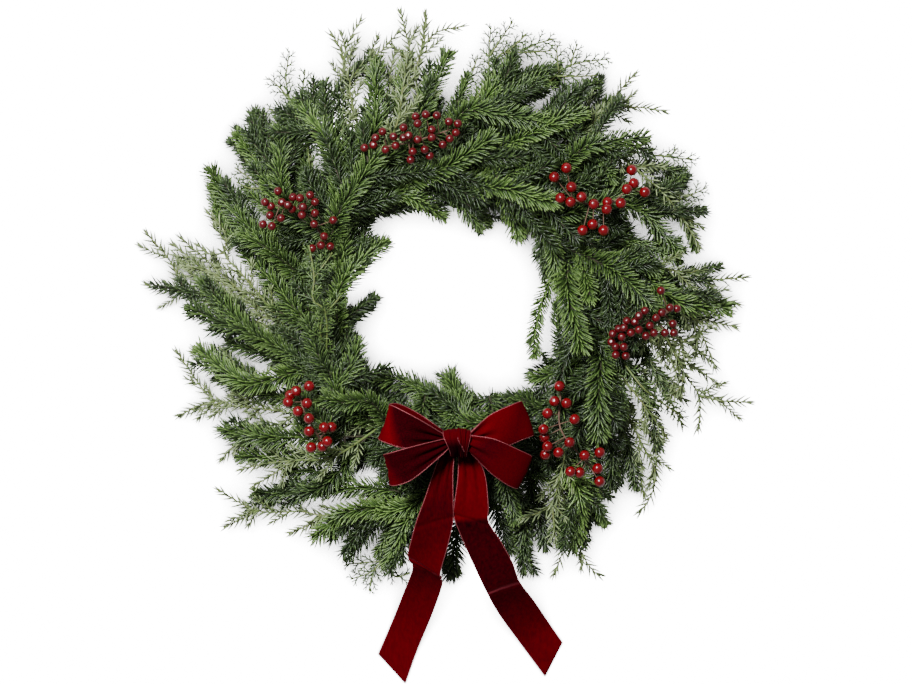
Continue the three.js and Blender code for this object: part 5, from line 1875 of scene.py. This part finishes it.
def stalk_foot(name: str, top: Array, radius: float, room: Room) -> Array | None:
    """Finds a straight way down to the frame that keeps clear of every stem.

    Args:
        name: the owner.
        top: where the way starts.
        radius: its radius.
        room: what is taken.

    Returns:
        Where it meets the frame, or nothing where no way is clear.
    """
    start = math.atan2(top[1], top[0])
    points, radii = room.others(name, "wire_frame")
    for step in range(STALK_TRIES):
        for way in (1, -1):
            angle = start + way * step * STALK_STEP
            foot = np.array([math.cos(angle) * RING_RADIUS, math.sin(angle) * RING_RADIUS,
                             2 * WIRE_HALF_HEIGHT + SEAT_GAP])
            count = math.ceil(np.linalg.norm(top - foot) / STALK_SPACING)
            line = top + (foot - top) * (np.arange(1, count - 2) / count)[:, None]
            gaps = np.linalg.norm(line[:, None] - points[None], axis=2)
            if np.all(gaps > radius + radii[None] + STALK_CLEARANCE):
                room.take(name, line, radius)
                return foot
    return None


# ---- Foliage ----
@dataclass
class Cover:
    """The underside of the bow and the berries, read from above: foliage stays below it."""

    half_size: int = 420
    open_height: float = 1000.0
    sheet_gap: float = 1.2
    berry_depth: float = 0.6
    ceiling: Array = field(init=False)

    def __post_init__(self) -> None:
        """Starts with nothing above."""
        self.ceiling = np.full((2 * self.half_size, 2 * self.half_size), self.open_height)

    def cells(self, points: Array) -> tuple[Array, Array]:
        """Gives the cells of the ceiling over some points."""
        cells = np.clip(np.round(points[..., :2] + self.half_size).astype(int), 0, 2 * self.half_size - 1)
        return cells[..., 0], cells[..., 1]

    def lower(self, points: Array, heights: Array) -> None:
        """Lowers the ceiling over some places to a height for each."""
        np.minimum.at(self.ceiling, self.cells(points), heights)

    def under_sheet(self, grid: Array) -> None:
        """Puts the ceiling under a sheet.

        Args:
            grid: the sheet's points.
        """
        points = grid.reshape(-1, 3)
        for step in ((0, 0), (1, 0), (-1, 0), (0, 1), (0, -1)):
            self.lower(points[:, :2] + step, points[:, 2] - self.sheet_gap)

    def under_berry(self, middle: Array, radius: float) -> None:
        """Puts the ceiling under a berry.

        Args:
            middle: its middle.
            radius: its radius.
        """
        span = np.arange(-math.ceil(radius), math.ceil(radius) + 1)
        grid = np.stack(np.meshgrid(span, span), axis=-1).reshape(-1, 2)
        grid = grid[np.hypot(*grid.T) <= radius]
        self.lower(middle[:2] + grid, np.full(len(grid), middle[2] - radius * self.berry_depth))

    def free(self, points: Array) -> Array:
        """Tells which points are below the ceiling."""
        return points[..., 2] < self.ceiling[self.cells(points)]


@dataclass(frozen=True)
class Habit:
    """How needles stand round a stem, in millimetres and degrees."""

    length: float
    width: float
    pitch: float
    lean: float = 58
    top_lean: float = 36
    tip_lean: float = 50
    spread: float = 0.65
    lift: float = 0.25
    shorter: float = 0.3
    curve: float = 0.2
    shape: tuple = FINE_BLADE
    tip_needles: int = 22
    tip_gap: float = 5.0


GOLDEN_ANGLE = math.pi * (3 - math.sqrt(5))


def grow(run: Run, start: float, habit: Habit, tone: float, random: np.random.Generator) -> Blades:
    """Grows needles along a stem, with a bud's worth of them at its tip.

    Args:
        run: the stem.
        start: where its foliage starts.
        habit: how they stand.
        tone: how light the shoot is.
        random: the draw.

    Returns:
        The needles.
    """
    along_count = max(2, int((run.length - start) / habit.pitch))
    count = along_count + habit.tip_needles
    order = np.concatenate([np.arange(along_count) / along_count, np.full(habit.tip_needles, 0.995)])
    distance = start + order * (run.length - start - habit.tip_gap)
    along, aside, rise = run.axes(distance)
    turn = np.arange(count) * GOLDEN_ANGLE + random.normal(0, 0.25, count)
    cos, sin = np.cos(turn), np.sin(turn)
    across = unit(aside * cos[:, None] + rise * (habit.spread * sin + habit.lift)[:, None])
    tipward = smoothstep(order, 1 - 22 / max(30, run.length - start), 1)
    lean = habit.lean + (habit.top_lean - habit.lean) * np.maximum(0, sin)
    lean = np.radians(lean + (habit.tip_lean - lean) * tipward + random.normal(0, 4, count))
    lean[along_count:] *= random.random(habit.tip_needles)
    ways = unit(along * np.cos(lean)[:, None] + across * np.sin(lean)[:, None])
    rises = rise * (1 - np.abs(across[:, 2:])) - along * across[:, 2:] + random.normal(0, 0.24, (count, 3))
    lengths = habit.length * (1 - habit.shorter * np.abs(sin)) * random.uniform(0.86, 1.1, count)
    lengths = lengths * (1 - 0.12 * tipward) * (0.7 + 0.3 * smoothstep(order, 0, 0.12))
    bends = (along * 0.8 + rise * 0.35) * (lengths * habit.curve)[:, None]
    return Blades(run.at(distance), ways, rises, lengths, habit.width, bends, random.random(count),
                  np.full(count, tone), habit.shape)


def kept(blades: Blades, cover: Cover) -> Blades:
    """Leaves out needles that would cut into the bow or a berry.

    Args:
        blades: the needles.
        cover: the ceiling.

    Returns:
        The others.
    """
    free = np.ones(len(blades.roots), bool)
    for share in (0.3, 0.65, 1.0):
        free &= cover.free(blades.roots + blades.ways * (blades.lengths * share)[:, None]
                           + blades.bends * share**2)
    free &= blades.roots[:, 2] + blades.ways[:, 2] * blades.lengths > 1.0
    return Blades(blades.roots[free], blades.ways[free], blades.rises[free], blades.lengths[free], blades.width,
                  blades.bends[free], blades.draws[free], blades.tones[free], blades.shape)


@dataclass
class Outline:
    """Where the wreath has foliage, seen from above."""

    points: Array
    reaches: Array
    # Where the foliage stays open: the plan's x and y, and a radius.
    gaps: tuple = places("378,229,10 397,219,9 410,214,5 639,226,10 680,227,9 672,266,9 265,320,9 "
                         "640,345,7 650,350,7 652,393,9")
    body: Pair = (113.0, 205.0)
    inner_share: float = 0.4
    outer_share: float = 0.8
    margin: float = 3
    spacing: float = 4.0

    @classmethod
    def of(cls, branches: Sequence[Branch]) -> "Outline":
        """Reads it from the settled stems.

        Args:
            branches: the branches with their stems.

        Returns:
            The outline.
        """
        points, reaches = [], []
        for strand in (strand for branch in branches for strand in branch.strands):
            run = Run(strand.path)
            distances = np.arange(run.nearest(strand.bare), run.length, cls.spacing)
            points.append(run.at(distances))
            reaches.append(np.full(len(distances), strand.reach * PLAN_UNIT))
        return cls(np.vstack(points), np.concatenate(reaches))

    def covers(self, path: Array) -> bool:
        """Tells whether all of a path lies in it and out of its gaps.

        Args:
            path: the path's points.

        Returns:
            Whether it does.
        """
        for x, y, radius in self.gaps:
            if np.any(plan_distance(path, plan_point((x, y))) < radius * PLAN_UNIT):
                return False
        distances = np.hypot(*np.moveaxis(path[:, None, :2] - self.points[None, :, :2], -1, 0))
        radii = np.hypot(path[:, 0], path[:, 1])
        body = (radii > self.body[0]) & (radii < self.body[1])
        share = np.where(radii < self.body[0], self.inner_share, self.outer_share)[:, None]
        return bool(np.all(body | np.any(distances < self.reaches[None] * share + self.margin, axis=1)))


@dataclass(frozen=True)
class Forking:
    """How side twigs leave a stem, to one side and then the other, in millimetres and degrees."""

    step: float
    turns: Pair
    rises: Pair | None = None
    jitter: float = 0.0


@dataclass
class Foliage:
    """What grows on a branch of any kind, one stem after another."""

    branch: Branch
    cover: Cover
    random: np.random.Generator
    materials: Sequence[Material]

    def dress(self, piece: Piece, strand: Strand) -> None:
        """Adds a stem and what grows on it, in each kind's own way."""
        raise NotImplementedError

    def forks(self, run: Run, start: float, end: float,
              how: Forking) -> Iterator[tuple[float, Array, Array, Array]]:
        """Finds where side twigs leave a stem and which way.

        Args:
            run: the stem.
            start: how far along it the first one leaves.
            end: how much of its tip has none.
            how: how they leave it.

        Yields:
            How far along it is, its root, the stem's way there and its own way.
        """
        side = 1.0
        for place in np.arange(start, run.length - end, how.step):
            side = -side
            where = np.array([place + self.random.uniform(-how.jitter, how.jitter) if how.jitter else place])
            along, aside, rise = (axis[0] for axis in run.axes(where))
            turn = math.radians(self.random.uniform(*how.turns)) * side
            way = along * math.cos(turn) + aside * math.sin(turn)
            if how.rises:
                way = way + rise * self.random.uniform(*how.rises)
            yield place, run.at(where)[0], along, unit(way)

    def add_needles(self, piece: Piece, run: Run, start: float, habit: Habit, tone: float) -> None:
        """Grows needles along a stem."""
        piece.add(*kept(grow(run, start, habit, tone, self.random), self.cover).block())

    def build(self) -> Object:
        """Makes the branch with all that grows on it.

        Returns:
            The branch's object.
        """
        piece = Piece(self.branch.name.replace("branch", "foliage").replace("sprig", "foliage"))
        for strand in self.branch.strands:
            self.dress(piece, strand)
        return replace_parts(piece.finish(self.materials), self.branch.name)


@dataclass
class FirFoliage(Foliage):
    """A fir branch: its woody stems, its shoots and the short twigs below them."""

    outline: Outline
    pitch: float = 0.46
    needle_width: float = 1.7
    slim_radius: float = 1.2
    tip_radius: float = 0.7
    fork_radius: float = 1.5
    slim_length: float = 60.0
    # How far a shoot's needles may reach back over its bare wood, and what stays bare.
    bare_back: float = 80.0
    least_bare: float = 24.0
    twig_ends: Pair = (16.0, 14.0)
    forking: Forking = Forking(10.0, (30.0, 58.0), jitter=5.0)
    # The lengths that a twig tries, the first of them drawn between two.
    twig_lengths: tuple = ((48.0, 72.0), 40.0, 26.0)
    twig_bend: float = 6.0
    twig_drops: Pair = (4.0, 15.0)
    twig_floor: float = 6.0
    twig_radii: Pair = (1.2, 0.7)
    twig_pitch: float = 0.85

    def twigs(self, run: Run) -> list[Run]:
        """Lays short twigs below a stem, on one side and then the other.

        Args:
            run: the stem.

        Returns:
            The twigs.
        """
        made = []
        steps = np.linspace(0, 1, 9)[:, None]
        longest, *shorter = self.twig_lengths
        for _, root, along, way in self.forks(run, *self.twig_ends, self.forking):
            for length in (self.random.uniform(*longest), *shorter):
                path = root + way * length * steps + along * self.twig_bend * steps**2
                drop = self.random.uniform(*self.twig_drops) * smoothstep(steps[:, 0], 0, 0.5)
                path[:, 2] = np.maximum(root[2] - drop, np.minimum(self.twig_floor, root[2]))
                if self.outline.covers(path[3:]):
                    made.append(Run(path))
                    break
        return made

    def dress(self, piece: Piece, strand: Strand) -> None:
        """Adds a shoot with its needles and the twigs below it.

        Args:
            piece: where it goes.
            strand: the shoot.
        """
        run = Run(strand.path)
        bare = run.nearest(strand.bare)
        start = 3.0 if strand.forked else min(bare, max(self.least_bare, bare - self.bare_back))
        length = strand.reach * PLAN_UNIT / math.sin(math.radians(Habit.lean))
        thick = self.fork_radius if strand.forked else self.branch.radius
        radii = np.interp(run.marks, [0, self.slim_length, run.length],
                          [thick, self.slim_radius, self.tip_radius])
        piece.add(*tube(strand.path, radii, 7), slot=1)
        self.add_needles(piece, run, start, Habit(length, self.needle_width, self.pitch), strand.tone)
        for twig in self.twigs(run):
            piece.add(*tube(twig.path, np.linspace(*self.twig_radii, len(twig.path)), 5), slot=1)
            low = Habit(length * self.random.uniform(0.8, 1.0), self.needle_width * 1.1, self.twig_pitch,
                        shape=PLAIN_BLADE, tip_needles=8, tip_gap=3)
            # Painted shade: the needles of the twigs under a shoot take a much darker tone than the shoot's own.
            self.add_needles(piece, twig, 1.0, low, strand.tone * 0.3 - 0.3)


@dataclass
class JuniperFoliage(Foliage):
    """A bunch of juniper: light stems with spiky leaves and short side twigs."""

    leaf: Habit = Habit(12.5, 2.2, 2.5, lean=46, top_lean=40, tip_lean=30, spread=0.5, lift=0.1, shorter=0.1,
                        curve=0.12, shape=AWL_BLADE, tip_needles=3)
    small_leaf: Habit = replace(leaf, length=10.0, width=2.0, pitch=2.2)
    most_bare: float = 26.0
    tip_radius: float = 0.7
    twig_end: float = 34.0
    forking: Forking = Forking(19.0, (32.0, 52.0), (-0.25, 0.35), jitter=3.0)
    twig_lengths: Pair = (14.0, 30.0)
    twig_bend: float = 0.25
    twig_floor: float = 1.5
    twig_radii: Pair = (0.75, 0.45)

    def twigs(self, run: Run, start: float) -> list[Run]:
        """Lays side twigs along the lower part of a stem, on one side and then the other.

        Args:
            run: the stem.
            start: where its foliage starts.

        Returns:
            The twigs.
        """
        made = []
        steps = np.linspace(0, 1, 8)[:, None]
        for _, root, along, way in self.forks(run, start, self.twig_end, self.forking):
            length = self.random.uniform(*self.twig_lengths)
            path = root + way * length * steps + along * length * self.twig_bend * steps**2
            path[:, 2] = np.maximum(path[:, 2], self.twig_floor)
            made.append(Run(path))
        return made

    def dress(self, piece: Piece, strand: Strand) -> None:
        """Adds a stem with its leaves and its side twigs.

        Args:
            piece: where it goes.
            strand: the stem.
        """
        run = Run(strand.path)
        start = 2.0 if strand.radius < self.branch.radius else min(run.nearest(strand.bare), self.most_bare)
        radii = np.linspace(strand.radius, self.tip_radius, len(strand.path))
        piece.add(*tube(strand.path, radii, 7), slot=1)
        twigs = self.twigs(run, start)
        self.add_needles(piece, run, start, self.leaf, strand.tone + self.random.uniform(-0.2, 0.2))
        for twig in twigs:
            piece.add(*tube(twig.path, np.linspace(*self.twig_radii, len(twig.path)), 5), slot=1)
            self.add_needles(piece, twig, 0.5, self.small_leaf, strand.tone + self.random.uniform(-0.2, 0.2))


@dataclass
class CypressFoliage(Foliage):
    """A bunch of cypress: forked twigs sheathed in scale leaves."""

    most_bare: float = 30.0
    tip_radius: float = 0.8
    forking: Forking = Forking(5.0, (32.0, 48.0), (-0.3, 0.4))
    spray_lengths: Pair = (11.0, 17.0)
    twig_step: float = 3.2
    twig_turns: Pair = (35.0, 50.0)
    most_twig: float = 7.0
    scale_step: float = 1.5
    scale_radius: float = 0.95
    scale_swell: float = 0.22
    taper: float = 0.45
    sides: int = 5

    def scaled_twig(self, piece: Piece, path: Array, radius: float, tone: float) -> None:
        """Adds a twig whose scales make it swell and shrink.

        Args:
            piece: where it goes.
            path: its middle.
            radius: its radius.
            tone: how light it is.
        """
        run = Run(path)
        count = max(5, 2 * int(run.length / self.scale_step) + 1)
        points = run.at(np.linspace(0, run.length, count))
        share = np.linspace(0, 1, count)
        swell = 1 + self.scale_swell * np.where(np.arange(count) % 2, 1, -1)
        vertices, faces = tube(points, radius * (1 - self.taper * share) * swell, self.sides)
        marks = np.tile([self.random.random(), 0.5, 0.1, tone], (len(vertices), 1))
        # The share along the twig also darkens its base with painted shade.
        marks[:-2, 1] = np.repeat(share, self.sides)
        marks[-1, 1] = 1
        piece.add(vertices, faces, growth=marks)

    def spray(self, piece: Piece, root: Array, way: Array, length: float, tone: float) -> None:
        """Adds a side twig with its own short twigs.

        Args:
            piece: where it goes.
            root: where it starts.
            way: the way it grows.
            length: its length.
            tone: how light it is.
        """
        aside = np.cross(UP, way)
        steps = np.linspace(0, 1, 6)[:, None]
        self.scaled_twig(piece, root + way * length * steps, self.scale_radius, tone)
        side = 1.0
        for place in np.arange(3.0, length - 2, self.twig_step):
            side = -side
            turn = math.radians(self.random.uniform(*self.twig_turns)) * side
            lift = UP * self.random.uniform(-0.2, 0.2)
            direction = unit(way * math.cos(turn) + aside * math.sin(turn) + lift)
            reach = min(self.most_twig, (length - place) * 0.5 + 2.0)
            path = root + way * place + direction * reach * steps
            self.scaled_twig(piece, path, self.scale_radius * 0.9, tone)

    def dress(self, piece: Piece, strand: Strand) -> None:
        """Adds a stem with its sprays, on one side and then the other.

        Args:
            piece: where it goes.
            strand: the stem.
        """
        run = Run(strand.path)
        start = 2.0 if strand.radius < self.branch.radius else min(run.nearest(strand.bare), self.most_bare)
        radii = np.linspace(strand.radius, self.tip_radius, len(strand.path))
        piece.add(*tube(strand.path, radii, 7), slot=1)
        for place, root, _, way in self.forks(run, start, 2.0, self.forking):
            length = min(self.random.uniform(*self.spray_lengths), 6 + (run.length - place) * 0.6)
            if np.all(self.cover.free(root + way * np.array([[0.0], [length]]))):
                self.spray(piece, root, way, length, 0.5 + self.random.uniform(-0.3, 0.3))


# ---- The studio ----
def placed(name: str, data: ID, place: Sequence[float] = (0.0, 0.0, 0.0)) -> Object:
    """Puts a mesh, light or camera in the scene.

    Args:
        name: the object's name.
        data: what it shows.
        place: where it stands.

    Returns:
        The object.
    """
    made = bpy.data.objects.new(name, data)
    made.location = place
    bpy.context.scene.collection.objects.link(made)
    return made


@dataclass
class Studio:
    """A white table, soft light from the upper left, and the camera straight above."""

    table_half: float = 6.0
    sky: float = 0.22
    backdrop: float = 22.0
    light_place: tuple[float, float, float] = (-1.0, 1.3, 2.85)
    light_size: float = 0.8
    light_power: float = 240.0
    lens: float = 295.1
    height: float = 8.028
    aside: float = 0.00107
    below: float = -0.0396

    def set_table(self, material: Material) -> None:
        """Makes the floor.

        Args:
            material: the floor's material.
        """
        half = self.table_half
        mesh = bpy.data.meshes.new("table_top")
        edge = [(-half, -half, 0), (half, -half, 0), (half, half, 0), (-half, half, 0)]
        mesh.from_pydata(edge, [], [(0, 1, 2, 3)])
        mesh.materials.append(material)
        placed("table_top", mesh)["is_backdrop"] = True

    def set_light(self) -> None:
        """Makes the bright surroundings and the soft key light."""
        world = bpy.data.worlds.new("studio")
        world.use_nodes = True
        nodes = Nodes(world.node_tree)
        sky = world.node_tree.nodes["Background"]
        seen = nodes.add("LightPath").outputs["Is Camera Ray"]
        nodes.link(nodes.math("MULTIPLY_ADD", seen, self.backdrop, self.sky), sky.inputs["Strength"])
        sky.inputs["Color"].default_value = rgba((1.0, 1.0, 1.0))
        bpy.context.scene.world = world
        light = bpy.data.lights.new("key_light", "AREA")
        light.size = self.light_size
        light.energy = self.light_power
        lamp = placed("key_light", light, self.light_place)
        lamp.rotation_mode = "QUATERNION"
        lamp.rotation_quaternion = (-lamp.location).to_track_quat("-Z", "Y")

    def set_camera(self) -> None:
        """Makes the camera, which looks straight down."""
        camera = bpy.data.cameras.new("camera")
        camera.lens = self.lens
        view = (CENTRE[0] + self.aside, CENTRE[1] + self.below, self.height)
        bpy.context.scene.camera = placed("camera", camera, view)

    def build(self, material: Material) -> None:
        """Makes the floor, the light and the camera.

        Args:
            material: the floor's look.
        """
        self.set_table(material)
        self.set_light()
        self.set_camera()


def corners(bounds: Sequence[Sequence[float]]) -> list[list[float]]:
    """Turns a box into plain lists of numbers."""
    return [[float(number) for number in corner] for corner in bounds]


def main() -> None:
    """Builds the wreath on its frame, piece by piece."""
    before = corners(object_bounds())
    effects = Effects()
    finishes = {finish.name: finish.material(effects) for finish in (
        FIR, JUNIPER, CYPRESS, BARK, GREEN_STEM, BERRY_STEM, BRIGHT_SKIN, DARK_SKIN, VELVET, EDGE_THREAD,
        COATED_WIRE, TableFinish())}
    room = Room()
    wire_frame, bow = WireFrame(), Bow()
    clusters = [Cluster(*row, *parts(plan)) for *row, plan in CLUSTERS]
    for part in (wire_frame, bow, *clusters):
        part.take_room(room)
    branches = [*fir_branches(), *sprig_bunches()]
    lay_out(branches, room)
    LOG.info("laid out %d stems", sum(len(branch.strands) for branch in branches))
    cover = Cover()
    for part in (*bow.strips, bow.knot):
        cover.under_sheet(part.surface())
    for cluster in clusters:
        cluster.set_stalk(room)
        for middle in cluster.centres:
            cover.under_berry(middle, cluster.radius)
    outline = Outline.of(branches)
    fill_in(branches)

    made = [(wire_frame.build(finishes["green_coated_wire"]), "green_wire")]
    velvet = [finishes["red_velvet"], finishes["wired_edge"]]
    made.extend((piece, "velvet") for piece in bow.build(velvet))
    for cluster in clusters:
        shade = "bright" if cluster.radius == BRIGHT_BERRY else "dark"
        piece = cluster.build([finishes[f"{shade}_berry_skin"], finishes["berry_stem"], finishes["bark"]])
        made.append((piece, f"{shade}_berry"))
    random = np.random.default_rng(SEED)
    dressing = {Kind.FIR: (FirFoliage, ("fir_needles", "bark"), (outline,)),
                Kind.JUNIPER: (JuniperFoliage, ("juniper_needles", "green_stem"), ()),
                Kind.CYPRESS: (CypressFoliage, ("cypress_scales", "green_stem"), ())}
    for branch in branches:
        foliage, names, more = dressing[branch.kind]
        piece = foliage(branch, cover, random, [finishes[name] for name in names], *more).build()
        made.append((piece, branch.kind.value))
    for piece, slot in made:
        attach(piece, BODY)
        LOG.info("%s: %d faces", piece.name, len(piece.data.polygons))
    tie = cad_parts["bow_tie_wire"]
    tie.data.materials.clear()
    tie.data.materials.append(finishes["green_coated_wire"])
    Studio().build(finishes["white_table"])
    {"cad": before, "visual": corners(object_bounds())}


if __name__ == "__main__":
    logging.basicConfig(level=logging.INFO)
    main()
